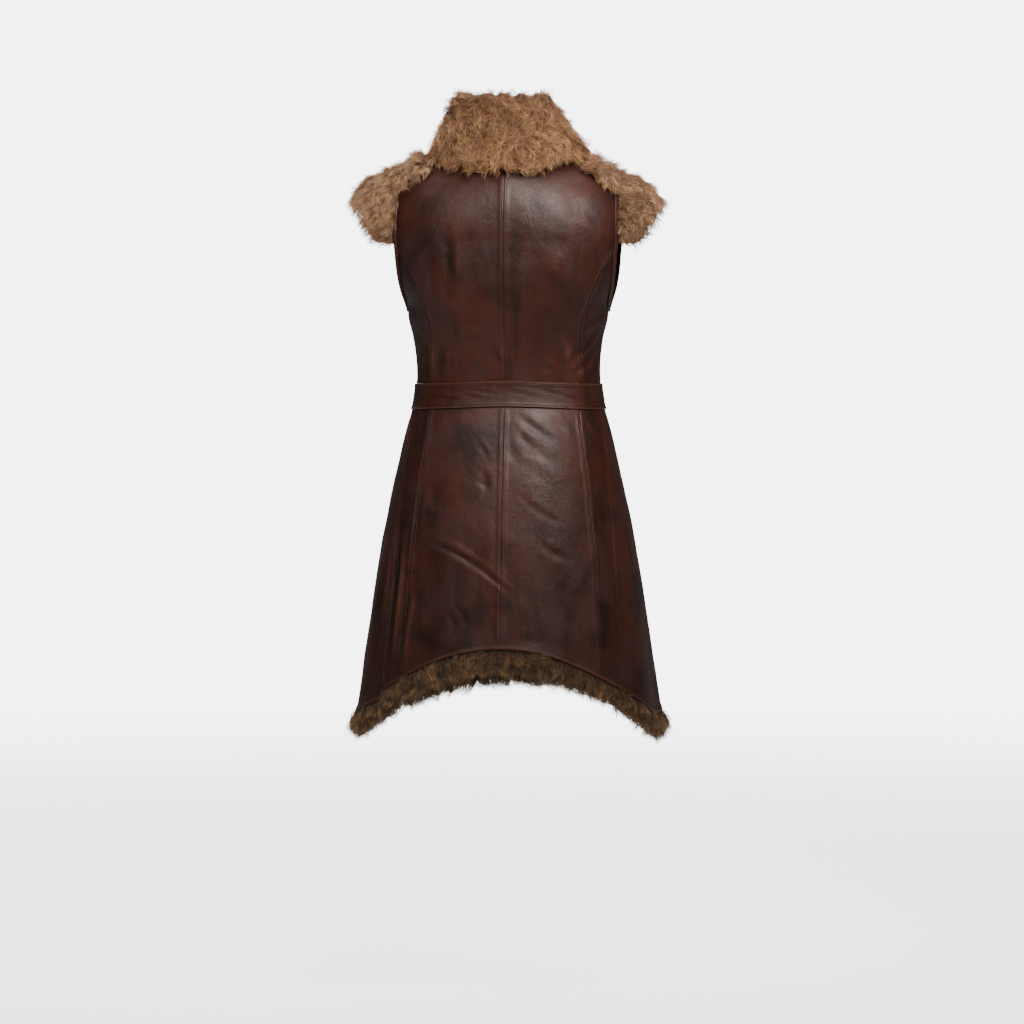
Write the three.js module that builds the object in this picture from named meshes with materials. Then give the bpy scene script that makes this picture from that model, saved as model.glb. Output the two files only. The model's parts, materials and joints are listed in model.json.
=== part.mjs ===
// A knee-length leather coat without sleeves, standing hollow in the shape it has when it is worn.
// Millimetres, +Z up. The front faces -Y, so +X is the wearer's left. The origin lies midway
// between the shoulders, level with the base of the neck.
import * as THREE from "three";

// Driving dimensions.
const leather = 2; // thickness of the hide
const seamGap = 0.3; // daylight between two pieces at a seam
const height = {
  roll: -140, // above this the bodice turns over the shoulders
  princessTop: -156, // where the back seam runs into the armhole
  underarm: -262,
  waistSeam: -424,
  hemBack: -888,
  hemSide: -1015,
  hemFront: -938,
};
const shoulder = { neckX: 75, neckZ: 22, tipX: 207, slope: 0.36 };
const neckline = { side: 75, back: 60, front: 100 }; // half-axes of the opening, seen from above
const band = { top: -400, bottom: -448, sag: 6, lift: 0.7 };
const facing = { width: 11, lift: 0.75, thickness: 1.6 };
const binding = { width: 8, thickness: 1.6 };
const hemPower = 2.1; // how late the hem drops from the centre to the side
const degrees = Math.PI / 180;

// Horizontal sections of the coat's outer face, each a rounded oblong.
const sections = [
  { z: -1120, halfWidth: 299, back: 219, front: 209, square: 2.3 },
  { z: -1020, halfWidth: 284, back: 209, front: 199, square: 2.3 },
  { z: -900, halfWidth: 267, back: 195, front: 182, square: 2.3 },
  { z: -800, halfWidth: 252, back: 181, front: 167, square: 2.3 },
  { z: -700, halfWidth: 236, back: 165, front: 151, square: 2.3 },
  { z: -600, halfWidth: 216, back: 145, front: 133, square: 2.3 },
  { z: -520, halfWidth: 198, back: 125, front: 121, square: 2.3 },
  { z: -480, halfWidth: 188, back: 112, front: 115, square: 2.3 },
  { z: -448, halfWidth: 178, back: 101, front: 111, square: 2.3 },
  { z: -424, halfWidth: 174, back: 96, front: 109, square: 2.3 },
  { z: -400, halfWidth: 171, back: 94, front: 109, square: 2.3 },
  { z: -360, halfWidth: 171, back: 98, front: 112, square: 2.3 },
  { z: -316, halfWidth: 177, back: 108, front: 118, square: 2.35 },
  { z: -288, halfWidth: 184, back: 115, front: 121, square: 2.4 },
  { z: -262, halfWidth: 188, back: 121, front: 123, square: 2.45 },
  { z: -225, halfWidth: 203, back: 125, front: 123, square: 2.65 },
  { z: -190, halfWidth: 212, back: 127, front: 119, square: 2.8 },
  { z: -140, halfWidth: 218, back: 124, front: 106, square: 3 },
];

// The seam down each side of the back: its distance from the centre at each height.
const princessSeam = [
  { z: -1020, x: 186 },
  { z: -900, x: 180 },
  { z: -805, x: 174 },
  { z: -716, x: 168 },
  { z: -600, x: 157 },
  { z: -520, x: 146 },
  { z: -456, x: 138 },
  { z: -394, x: 139 },
  { z: -350, x: 136 },
  { z: -312, x: 137 },
  { z: -279, x: 142 },
  { z: -254, x: 152 },
  { z: -225, x: 165 },
  { z: -190, x: 181 },
  { z: -156, x: 202 },
];

// The side seam: its angle around the body from the centre back, in degrees.
const sideSeam = [
  { z: -1020, angle: 57 },
  { z: -800, angle: 60 },
  { z: -660, angle: 65 },
  { z: -520, angle: 73 },
  { z: -424, angle: 80 },
  { z: -262, angle: 90 },
];

// Soft flutes in the skirt, in degrees around from the centre back, positive towards the
// wearer's left. A flute starts at top and is fully depth high, or low, at foot.
const flutes = [
  { angle: 71, width: 7, depth: 8, top: -540, foot: -1000 },
  { angle: 27, width: 10, depth: 4, top: -660, foot: -940 },
  { angle: 9, width: 6, depth: -4, top: -720, foot: -920 },
  { angle: -14, width: 8, depth: 3, top: -700, foot: -930 },
  { angle: -38, width: 8, depth: -4, top: -640, foot: -980 },
  { angle: -63, width: 9, depth: 6, top: -560, foot: -1000 },
  { angle: -84, width: 8, depth: -6, top: -600, foot: -1000 },
  { angle: -106, width: 10, depth: 6, top: -560, foot: -1000 },
  { angle: -134, width: 9, depth: -6, top: -620, foot: -980 },
  { angle: 97, width: 8, depth: -6, top: -600, foot: -1000 },
  { angle: 118, width: 10, depth: 7, top: -580, foot: -1000 },
  { angle: 143, width: 9, depth: -5, top: -640, foot: -960 },
];

// The left front falls behind the side panel in one pleat that opens towards the hem.
const pleat = { depth: 12, drop: 12, start: 0.5, rise: 5, width: 28, top: -560, foot: -980 };

// The fur collar, from the centre back to its front end. angle is the place on the neckline,
// stand and lean bring it to the roll, and edgeX and edgeDown give the lower edge of the fall:
// its distance from the centre and how far behind, or with a minus before, the shoulder line.
const collarFrames = [
  { angle: 0, stand: 106, lean: 13, edgeX: 0, edgeDown: 76 },
  { angle: 30, stand: 109, lean: 12, edgeX: 56, edgeDown: 65 },
  { angle: 55, stand: 110, lean: 8, edgeX: 98, edgeDown: 42 },
  { angle: 75, stand: 110, lean: 4, edgeX: 130, edgeDown: 14 },
  { angle: 90, stand: 107, lean: 2, edgeX: 144, edgeDown: 0 },
  { angle: 110, stand: 90, lean: 6, edgeX: 145, edgeDown: -30 },
  { angle: 135, stand: 60, lean: 14, edgeX: 130, edgeDown: -78 },
  { angle: 155, stand: 34, lean: 21, edgeX: 90, edgeDown: -125 },
  { angle: 168, stand: 24, lean: 26, edgeX: 46, edgeDown: -152 },
];

const collarClear = 1.1; // between the collar and the hide beneath it

// The fur strip over each shoulder, from beside the collar out to the armhole.
const strips = [
  { x: 165, pile: 40, back: 40, front: 48 },
  { x: 178, pile: 35, back: 51, front: 59 },
  { x: 193, pile: 29, back: 61, front: 69 },
  { x: 208.8, pile: 24, back: 68, front: 78 },
];
const stripLift = 4.4;
const stripSteps = 5; // from the collar to the armhole
const stripShares = [-1, -0.86, -0.6, -0.3, 0, 0.3, 0.6, 0.86, 1]; // from the back edge to the front one

// The fur cap over the upper arm is part of a dome on the armhole, from a first to a last angle
// round it. roundAcross and roundDown are powers that make the dome fuller than a ball.
const cap = {
  clear: 2.4, reach: 62, under: 60, first: -8, last: 188, turn: 68, least: 6, pile: 25, lip: 10,
  widening: 0.6, lipRun: 2.2, roundAcross: 0.8, roundDown: 0.45,
};

// Section of the fur hem, outwards from the leather's face and down from its edge.
const hemFur = [
  { out: -2.7, down: -20 },
  { out: -2.7, down: 2.9 },
  { out: 6, down: 8 },
  { out: 9, down: 22 },
  { out: 5, down: 38 },
  { out: -5, down: 47 },
  { out: -15, down: 41 },
  { out: -20, down: 26 },
  { out: -17, down: 6 },
  { out: -8, down: -20 },
];
const hemFurSwell = { centre: 0.88, side: 1.1 };

const collarEnd = { across: -6, forward: -6, up: 8, taper: 0.3 }; // the rounded end in front

const columns = { back: 7, side: 3, front: 11 };
const neckShare = 0.36; // of a panel's columns, along the neckline
const upperSteps = 5; // rows from the top of the back seam to the shoulder
const frontCrowding = 1.3; // the front's columns stand closer towards the side seam

const finish = {
  leather: new THREE.MeshStandardMaterial({ color: 0x4a2c25, roughness: 0.55, metalness: 0 }),
  side: new THREE.MeshStandardMaterial({ color: 0x432721, roughness: 0.55, metalness: 0 }),
  trim: new THREE.MeshStandardMaterial({ color: 0x3c221d, roughness: 0.5, metalness: 0 }),
  collar: new THREE.MeshStandardMaterial({ color: 0x96764f, roughness: 1, metalness: 0 }),
  cap: new THREE.MeshStandardMaterial({ color: 0x92795c, roughness: 1, metalness: 0 }),
  hem: new THREE.MeshStandardMaterial({ color: 0x6b5138, roughness: 1, metalness: 0 }),
};

const coat = new THREE.Group();

function mix(a, b, t) {
  return a + (b - a) * t;
}

function ease(t) {
  const u = Math.min(1, Math.max(0, t));
  return u * u * (3 - 2 * u);
}

// A column of a table at any place between its rows, on a smooth curve through them.
function read(table, place, column, at) {
  const last = table.length - 1;
  let k = 0;
  while (k < last - 1 && (table[k + 1][place] - at) * (table[last][place] - table[0][place]) < 0) {
    k += 1;
  }
  const slope = (i) => {
    const a = table[Math.max(0, i - 1)];
    const b = table[Math.min(last, i + 1)];
    return (b[column] - a[column]) / (b[place] - a[place]);
  };
  const span = table[k + 1][place] - table[k][place];
  const t = Math.min(1, Math.max(0, (at - table[k][place]) / span));
  const rise = 3 * t * t - 2 * t * t * t;
  return (
    mix(table[k][column], table[k + 1][column], rise) +
    slope(k) * span * t * (1 - t) * (1 - t) -
    slope(k + 1) * span * t * t * (1 - t)
  );
}

function sectionAt(z) {
  const at = Math.min(z, height.roll);
  return {
    halfWidth: read(sections, "z", "halfWidth", at),
    back: read(sections, "z", "back", at),
    front: read(sections, "z", "front", at),
    square: read(sections, "z", "square", at),
  };
}

// Distance of the outer face from the middle, in the direction of an angle from the back.
function reachAt(section, angle) {
  const depth = Math.cos(angle) > 0 ? section.back : section.front;
  const across = Math.abs(Math.sin(angle) / section.halfWidth) ** section.square;
  const along = Math.abs(Math.cos(angle) / depth) ** section.square;
  return (across + along) ** (-1 / section.square);
}

// The angle of a point x from the centre; back is 1 on the back and -1 on the front.
function angleOf(z, x, back) {
  const section = sectionAt(z);
  const depth = back > 0 ? section.back : section.front;
  const left = Math.max(0, 1 - Math.abs(x / section.halfWidth) ** section.square);
  return Math.atan2(x, back * depth * left ** (1 / section.square));
}

function shoulderLine(x) {
  return shoulder.neckZ + (shoulder.neckX - Math.abs(x)) * shoulder.slope;
}

function sideAngle(z) {
  return read(sideSeam, "z", "angle", z) * degrees;
}

function princessAngle(z) {
  return angleOf(z, read(princessSeam, "z", "x", z), 1);
}

// How far the flutes and the pleat move the skirt outwards.
function fluteAt(angle, z) {
  const turned = angle / degrees;
  let out = 0;
  for (const flute of flutes) {
    const off = (turned - flute.angle) / flute.width;
    out += flute.depth * Math.exp(-off * off) * ease((flute.top - z) / (flute.top - flute.foot));
  }
  const past = turned - sideAngle(z) / degrees - pleat.start;
  if (past > 0) {
    const open = ease((pleat.top - z) / (pleat.top - pleat.foot));
    const fade = Math.max(0, 1 - past / pleat.width) ** 1.5;
    out -= pleat.depth * open * ease(past / pleat.rise) * fade;
  }
  return out;
}

// The coat's outer face. level is the height up to height.roll, and from there to 0 it is the
// share of the quarter turn that brings the cloth over the shoulder.
function coatPoint(angle, level) {
  const section = sectionAt(level);
  const reach = reachAt(section, angle);
  const x = reach * Math.sin(angle);
  const y = reach * Math.cos(angle);
  if (level > height.roll) {
    const turn = (1 - level / height.roll) * 90 * degrees;
    const z = height.roll + (shoulderLine(x) - height.roll) * Math.sin(turn);
    return new THREE.Vector3(x, y * Math.cos(turn), z);
  }
  const out = 1 + fluteAt(angle, level) / reach;
  return new THREE.Vector3(x * out, y * out, level);
}

function coatNormal(angle, level) {
  const step = 0.4 * degrees;
  const around = coatPoint(angle + step, level).sub(coatPoint(angle - step, level));
  const up = coatPoint(angle, level + 1).sub(coatPoint(angle, level - 1));
  return around.cross(up).normalize().negate();
}

function lifted(angle, level, distance) {
  return coatPoint(angle, level).addScaledVector(coatNormal(angle, level), distance);
}

// Height of the shoulders over a point seen from above.
function shoulderHeight(x, y) {
  const section = sectionAt(height.roll);
  const depth = y > 0 ? section.back : section.front;
  const reach = depth * (1 - Math.abs(x / section.halfWidth) ** section.square) ** (1 / section.square);
  const drop = Math.sqrt(Math.max(0, 1 - (y / reach) ** 2));
  return height.roll + (shoulderLine(x) - height.roll) * drop;
}

// The angle of the armhole's edge at a level, on the back or on the front.
function armholeAngle(level, back) {
  const top = angleOf(height.roll, shoulder.tipX, back);
  if (level >= height.roll) return top;
  const fall = (level - height.roll) / (height.underarm - height.roll);
  const open = Math.sqrt(Math.max(0, 1 - fall * fall));
  const roll = sectionAt(height.roll);
  const ratio = (1 - (shoulder.tipX / roll.halfWidth) ** roll.square) ** (1 / roll.square);
  const section = sectionAt(level);
  const depth = (back > 0 ? section.back : section.front) * ratio * open;
  const x = section.halfWidth * (1 - (ratio * open) ** section.square) ** (1 / section.square);
  return Math.atan2(x, back * depth);
}

// The outer edge of the bodice, above the waist: side seam, then armhole.
function bodiceEdge(level, back) {
  return level > height.underarm ? armholeAngle(level, back) : sideAngle(level);
}

function hemHeight(angle) {
  const section = sectionAt(height.hemSide);
  const share = Math.abs((reachAt(section, angle) * Math.sin(angle)) / section.halfWidth);
  const centre = Math.cos(angle) > 0 ? height.hemBack : height.hemFront;
  return mix(centre, height.hemSide, share ** hemPower);
}

// The left front hangs lower beside its pleat.
function hemLevel(angle) {
  const past = angle / degrees - sideAngle(height.hemSide) / degrees;
  const drop = past > 0 ? pleat.drop * Math.max(0, 1 - past / pleat.width) ** 1.5 : 0;
  return hemHeight(angle) - drop;
}

function halfGap(angle, level) {
  return seamGap / 2 / reachAt(sectionAt(level), angle);
}

function closedGeometry(points, faces) {
  let volume = 0;
  for (const [a, b, c] of faces) {
    volume += points[a].dot(points[b].clone().cross(points[c]));
  }
  const turned = volume < 0 ? faces.map(([a, b, c]) => [a, c, b]) : faces;
  const geometry = new THREE.BufferGeometry().setFromPoints(points);
  geometry.setIndex(turned.flat());
  geometry.computeVertexNormals();
  return geometry;
}

function addPiece(name, material, geometry) {
  const mesh = new THREE.Mesh(geometry, material);
  mesh.name = name;
  coat.add(mesh);
}

// A wall between two grids of points; a ring's last row joins its first.
function wallBetween(outer, inner, ring = false) {
  const rows = outer.length;
  const wide = outer[0].length;
  const under = rows * wide;
  const last = wide - 1;
  const faces = [];
  const quad = (a, b, c, d) => faces.push([a, b, c], [a, c, d]);
  const at = (i, j) => (i % rows) * wide + j;
  for (let i = 0; i < (ring ? rows : rows - 1); i += 1) {
    for (let j = 0; j < last; j += 1) {
      quad(at(i, j), at(i + 1, j), at(i + 1, j + 1), at(i, j + 1));
      quad(under + at(i, j), under + at(i, j + 1), under + at(i + 1, j + 1), under + at(i + 1, j));
    }
    quad(at(i + 1, 0), at(i, 0), under + at(i, 0), under + at(i + 1, 0));
    quad(at(i, last), at(i + 1, last), under + at(i + 1, last), under + at(i, last));
  }
  if (!ring) {
    for (let j = 0; j < last; j += 1) {
      const foot = rows - 1;
      quad(at(0, j), at(0, j + 1), under + at(0, j + 1), under + at(0, j));
      quad(at(foot, j + 1), at(foot, j), under + at(foot, j), under + at(foot, j + 1));
    }
  }
  return closedGeometry([...outer.flat(), ...inner.flat()], faces);
}

// A wall of leather from a grid of places on the coat, lift above its face. Its rows run upwards
// and its columns towards the wearer's left, so that pieces on top of each other fold alike.
function hide(grid, lift = 0, thickness = leather) {
  const upward = grid[0][0].level < grid.at(-1)[0].level ? grid : [...grid].reverse();
  const ordered = upward.map((row) => (row[0].angle < row.at(-1).angle ? row : [...row].reverse()));
  const layer = (distance) => {
    return ordered.map((row) => row.map(({ angle, level }) => lifted(angle, level, distance)));
  };
  return lift > 0
    ? wallBetween(layer(lift + thickness), layer(lift))
    : wallBetween(layer(0), layer(-thickness));
}

// The triangles that close the end of a swept outline.
function capFaces(outline) {
  const normal = new THREE.Vector3();
  outline.forEach((point, i) => {
    const next = outline[(i + 1) % outline.length];
    normal.add(point.clone().cross(next));
  });
  normal.normalize();
  const across = outline[1].clone().sub(outline[0]).projectOnPlane(normal).normalize();
  const up = normal.clone().cross(across);
  const flat = outline.map((point) => new THREE.Vector2(point.dot(across), point.dot(up)));
  return THREE.ShapeUtils.triangulateShape(flat, []).map(([a, b, c]) => {
    const turn = flat[b].clone().sub(flat[a]).cross(flat[c].clone().sub(flat[a]));
    return turn > 0 ? [a, b, c] : [a, c, b];
  });
}

// A solid swept through a row of outlines with the same number of points.
function sweep(outlines) {
  const count = outlines[0].length;
  const faces = [];
  for (let k = 0; k < outlines.length - 1; k += 1) {
    for (let m = 0; m < count; m += 1) {
      const next = (m + 1) % count;
      const a = k * count;
      faces.push([a + m, a + next, a + count + next], [a + m, a + count + next, a + count + m]);
    }
  }
  const end = (outlines.length - 1) * count;
  for (const [a, b, c] of capFaces(outlines[0])) faces.push([a, c, b]);
  for (const [a, b, c] of capFaces(outlines.at(-1))) faces.push([end + a, end + b, end + c]);
  return closedGeometry(outlines.flat(), faces);
}

// One row of places from a first to a last angle, at one level.
function rowOf(first, last, count, level) {
  const crowding = count === columns.front ? frontCrowding : 1;
  const places = [];
  for (let j = 0; j <= count; j += 1) {
    places.push({ angle: mix(first, last, (j / count) ** crowding), level });
  }
  return places;
}

// The bodice's levels, from the waist to the top of the back seam.
const bodiceLevels = [
  height.waistSeam + seamGap / 2, band.top, -370, -340, -312, -286,
  height.underarm, -258, -247, -230, -208, -182, height.princessTop,
];

// The row along the neckline and the shoulder seam, for a back or a front.
function topRow(count, back, sign) {
  const neckColumns = Math.ceil(count * neckShare);
  const places = [];
  for (let j = 0; j <= count; j += 1) {
    const inNeck = j <= neckColumns;
    const x = inNeck
      ? mix(seamGap / 2, neckline.side, j / neckColumns)
      : mix(neckline.side, shoulder.tipX, (j - neckColumns) / (count - neckColumns));
    const angle = angleOf(height.roll, x, back);
    const reach = Math.abs(reachAt(sectionAt(height.roll), angle) * Math.cos(angle));
    const depth = back > 0 ? neckline.back : neckline.front;
    const y = depth * Math.sqrt(Math.max(0, 1 - (x / neckline.side) ** 2));
    const neckLevel = height.roll * (1 - Math.acos(Math.min(1, y / reach)) / (90 * degrees));
    const level = inNeck ? Math.min(-seamGap / 2, neckLevel) : -seamGap / 2;
    places.push({ angle: angle * sign, level });
  }
  return places;
}

// Rows above the back seam, from a row at its top up to the neckline and the shoulder.
function upperRows(first, last, steps) {
  const rows = [];
  for (let i = 1; i <= steps; i += 1) {
    rows.push(
      first.map((place, j) => ({
        angle: mix(place.angle, last[j].angle, i / steps),
        level: mix(place.level, last[j].level, i / steps),
      })),
    );
  }
  return rows;
}

function middleAngle(level, back) {
  const edge = seamGap / 2 / reachAt(sectionAt(level), back > 0 ? 0 : Math.PI);
  return back > 0 ? edge : Math.PI - edge;
}

// The rows of a bodice panel between two edges given as functions of the level.
function bodiceRows(levels, first, last, count, sign) {
  return levels.map((level) => rowOf(first(level) * sign, last(level) * sign, count, level));
}

// The rows of a skirt panel: level below the band, then closing in on the hem.
const skirtTop = [height.waistSeam - seamGap / 2, band.bottom, -476];
const skirtShares = [0.1, 0.22, 0.36, 0.5, 0.64, 0.78, 0.9, 1];

function skirtLevel(angle, share) {
  const start = skirtTop.at(-1);
  const drop = hemLevel(angle) - hemHeight(angle);
  return mix(start, hemHeight(angle), share) + drop * Math.max(0, (share - 0.8) / 0.2) ** 2;
}

function skirtRow(first, last, count, share, sign) {
  const edgeAngle = (edge) => {
    let level = height.hemSide;
    for (let i = 0; i < 5; i += 1) level = mix(skirtTop.at(-1), hemHeight(edge(level)), share);
    return edge(level) * sign;
  };
  const row = rowOf(edgeAngle(first), edgeAngle(last), count, 0);
  return row.map(({ angle }) => ({ angle, level: skirtLevel(angle, share) }));
}

function skirtRows(first, last, count, sign) {
  const upper = skirtTop.map((level) => rowOf(first(level) * sign, last(level) * sign, count, level));
  const lower = skirtShares.map((share) => skirtRow(first, last, count, share, sign));
  return [...upper, ...lower];
}

// The edges of the pieces, from the centre back round to the centre front.
const edges = {
  centreBack: (level) => middleAngle(level, 1),
  princessIn: (level) => princessAngle(level) - halfGap(princessAngle(level), level),
  princessOut: (level) => princessAngle(level) + halfGap(princessAngle(level), level),
  sideIn: (level) => sideAngle(level) - halfGap(sideAngle(level), level),
  sideOut: (level) => sideAngle(level) + halfGap(sideAngle(level), level),
  backArm: (level) => bodiceEdge(level, 1) - halfGap(bodiceEdge(level, 1), level),
  frontArm: (level) => bodiceEdge(level, -1) + halfGap(bodiceEdge(level, -1), level),
  centreFront: (level) => middleAngle(level, -1),
};

// The same places all round at one level or along the hem, so that trim follows the panels.
function ringPlaces(from, to, sign, rowFor) {
  const spans = [
    [edges.centreBack, edges.princessIn, columns.back],
    [edges.princessOut, edges.sideIn, columns.side],
    [edges.sideOut, edges.centreFront, columns.front],
  ];
  return spans.slice(from, to).flatMap(([first, last, count]) => rowFor(first, last, count, sign));
}

function bandPlaces(from, to, sign, level) {
  return ringPlaces(from, to, sign, (first, last, count) => {
    return rowOf(first(level) * sign, last(level) * sign, count, level);
  });
}

function bandRows(from, to, sign) {
  return [band.bottom, height.waistSeam, band.top].map((level) => {
    return bandPlaces(from, to, sign, level).map((place) => ({
      angle: place.angle,
      level: level - (level === height.waistSeam ? 0 : band.sag * Math.sin(place.angle) ** 2),
    }));
  });
}

function hemPlaces(from, to, sign) {
  return ringPlaces(from, to, sign, (first, last, count) => skirtRow(first, last, count, 1, sign));
}

// An outline placed at the hem: out along the leather's normal, and down from its edge.
function hemOutline(place, outline, swell = 1) {
  const edge = coatPoint(place.angle, place.level);
  const normal = coatNormal(place.angle, place.level);
  const down = edge.clone().sub(coatPoint(place.angle, place.level + 1)).normalize();
  return outline.map((corner) => {
    const below = corner.down > 0 ? corner.down * swell : corner.down;
    return edge.clone().addScaledVector(normal, corner.out).addScaledVector(down, below);
  });
}

function mirrored(places) {
  return places.map(({ angle, level }) => ({ angle: -angle, level })).reverse();
}

const bindingOutline = [
  { out: seamGap, down: -binding.width },
  { out: seamGap + binding.thickness, down: -binding.width },
  { out: seamGap + binding.thickness, down: seamGap + binding.thickness * 0.6 },
  { out: seamGap + binding.thickness * 0.4, down: seamGap + binding.thickness },
  { out: -leather, down: seamGap + binding.thickness },
  { out: -leather, down: seamGap },
  { out: seamGap, down: seamGap },
];

function furSwell(angle) {
  return mix(hemFurSwell.centre, hemFurSwell.side, Math.sin(angle) ** 2);
}

for (const [side, sign] of [["left", 1], ["right", -1]]) {
  // Bodice.
  const backLower = bodiceRows(bodiceLevels, edges.centreBack, edges.princessIn, columns.back, sign);
  const aboveSeam = height.princessTop + seamGap;
  const backTurn = rowOf(
    edges.centreBack(aboveSeam) * sign, edges.backArm(aboveSeam) * sign, columns.back, aboveSeam,
  );
  const backTop = upperRows(backTurn, topRow(columns.back, 1, sign), upperSteps);
  addPiece(`back_${side}`, finish.leather, hide([...backLower, backTurn, ...backTop]));

  const sideRows = bodiceRows(bodiceLevels, edges.princessOut, edges.backArm, columns.side, sign);
  addPiece(`side_back_${side}`, finish.side, hide(sideRows));

  const frontLower = bodiceRows(bodiceLevels, edges.frontArm, edges.centreFront, columns.front, sign);
  const frontTop = upperRows(frontLower.at(-1), topRow(columns.front, -1, sign).reverse(), upperSteps);
  addPiece(`front_${side}`, finish.leather, hide([...frontLower, ...frontTop]));

  // Skirt.
  const skirtBack = skirtRows(edges.centreBack, edges.princessIn, columns.back, sign);
  addPiece(`skirt_back_${side}`, finish.leather, hide(skirtBack));
  const skirtSide = skirtRows(edges.princessOut, edges.sideIn, columns.side, sign);
  addPiece(`skirt_side_${side}`, finish.side, hide(skirtSide));
  const skirtFront = skirtRows(edges.sideOut, edges.centreFront, columns.front, sign);
  addPiece(`skirt_front_${side}`, finish.leather, hide(skirtFront));

  // Waistband, binding and fur hem of one front.
  addPiece(`waistband_front_${side}`, finish.trim, hide(bandRows(2, 3, sign), band.lift));
  const frontHem = hemPlaces(2, 3, sign);
  addPiece(
    `hem_binding_front_${side}`, finish.trim,
    sweep(frontHem.map((place) => hemOutline(place, bindingOutline))),
  );
  addPiece(
    `fur_hem_front_${side}`, finish.hem,
    sweep(frontHem.map((place) => hemOutline(place, hemFur, furSwell(place.angle)))),
  );

  addArmholeFacing(side, sign);
  addShoulderStrip(side, sign);
  addShoulderCap(side, sign);
}

// Waistband, binding and fur hem of the whole back.
const backBand = bandRows(0, 2, 1).map((row) => [...mirrored(row), ...row]);
addPiece("waistband_back", finish.trim, hide(backBand, band.lift));
const backHem = [...mirrored(hemPlaces(0, 2, 1)), ...hemPlaces(0, 2, 1)];
addPiece(
  "hem_binding_back", finish.trim,
  sweep(backHem.map((place) => hemOutline(place, bindingOutline))),
);
addPiece(
  "fur_hem_back", finish.hem,
  sweep(backHem.map((place) => hemOutline(place, hemFur, furSwell(place.angle)))),
);
addCollar();

// A stitched strip of leather round the armhole, on the face of the bodice.
function addArmholeFacing(side, sign) {
  const steps = 24;
  const grid = [];
  for (let i = 0; i < steps; i += 1) {
    const turn = (i / steps) * 360 * degrees;
    const back = Math.cos(turn) >= 0 ? 1 : -1;
    const upper = Math.sin(turn) >= 0;
    const climb = Math.asin(Math.min(1, Math.abs(Math.sin(turn)))) / (90 * degrees);
    const level = upper
      ? height.roll * (1 - climb)
      : mix(height.roll, height.underarm, Math.abs(Math.sin(turn)));
    const angle = armholeAngle(level, back);
    const perRadian = coatPoint(angle + 0.01, level).distanceTo(coatPoint(angle - 0.01, level)) / 0.02;
    const place = (width) => ({
      angle: (angle - (back * width * (upper ? 1 : Math.abs(Math.cos(turn)))) / perRadian) * sign,
      level: upper ? level : level - width * Math.abs(Math.sin(turn)),
    });
    grid.push([place(seamGap), place(facing.width)]);
  }
  const layer = (distance) => {
    return grid.map((row) => row.map(({ angle, level }) => lifted(angle, level, distance)));
  };
  const outer = layer(facing.lift + facing.thickness);
  addPiece(`armhole_facing_${side}`, finish.trim, wallBetween(outer, layer(facing.lift), true));
}

// Straight up and down or towards the back and front, with no lean to the side.
function uprightNormal(angle, level) {
  const normal = coatNormal(angle, level);
  return new THREE.Vector3(0, normal.y, normal.z).normalize();
}

function addShoulderStrip(side, sign) {
  const places = [];
  for (let i = 0; i <= stripSteps; i += 1) places.push(mix(strips[0].x, strips.at(-1).x, i / stripSteps));
  const layer = (pile) => {
    return places.map((x) => {
      const depth = read(strips, "x", "pile", x);
      return stripShares.map((share) => {
        const back = share <= 0 ? 1 : -1;
        const edge = read(strips, "x", back > 0 ? "back" : "front", x);
        const level = -Math.abs(share) * edge;
        const angle = angleOf(height.roll, x, back) * sign;
        const rounded = 0.3 + 0.7 * (1 - share ** 4);
        const lift = stripLift + pile * depth * rounded;
        return coatPoint(angle, level).addScaledVector(uprightNormal(angle, level), lift);
      });
    });
  };
  addPiece(`fur_shoulder_${side}`, finish.cap, wallBetween(layer(1), layer(0)));
}

// A point of the dome on the armhole: turn goes round the armhole from the back over the top,
// and out goes away from it.
function domePoint(turn, out, sign) {
  const arm = (back) => coatPoint(armholeAngle(height.roll, back), height.roll);
  const depth = Math.cos(turn) >= 0 ? arm(1).y : -arm(-1).y;
  const rise = Math.sin(turn) >= 0 ? shoulderLine(shoulder.tipX) - height.roll : cap.under;
  const across = Math.sign(out) * Math.abs(Math.sin(out)) ** cap.roundAcross;
  const left = Math.cos(out) ** cap.roundDown;
  return new THREE.Vector3(
    sign * (shoulder.tipX + cap.clear + cap.reach * across),
    (depth + stripLift) * left * Math.cos(turn),
    height.roll + (rise + stripLift) * left * Math.sin(turn),
  );
}

function addShoulderCap(side, sign) {
  const rounds = 14;
  const steps = 5;
  const layer = (pile) => {
    const rows = [];
    for (let i = 0; i <= rounds; i += 1) {
      const share = i / rounds;
      const turn = mix(cap.first, cap.last, share) * degrees;
      const arch = Math.sin(Math.PI * share);
      const most = (cap.least + (cap.turn - cap.least) * Math.max(0, arch) ** cap.widening) * degrees;
      const row = [];
      for (let j = 0; j <= steps; j += 1) {
        const out = (most * j) / steps;
        const small = 0.01;
        const around = domePoint(turn + small, out, sign).sub(domePoint(turn - small, out, sign));
        const away = domePoint(turn, out + small, sign).sub(domePoint(turn, out - small, sign));
        const normal = around.cross(away).normalize().multiplyScalar(sign);
        const full = mix(cap.lip, cap.pile, Math.min(1, arch * cap.lipRun));
        const depth = mix(full, cap.lip, (j / steps) ** 3);
        row.push(domePoint(turn, out, sign).addScaledVector(normal, pile * depth));
      }
      rows.push(row);
    }
    return rows;
  };
  addPiece(`fur_cap_${side}`, finish.cap, wallBetween(layer(1), layer(0)));
}

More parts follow.
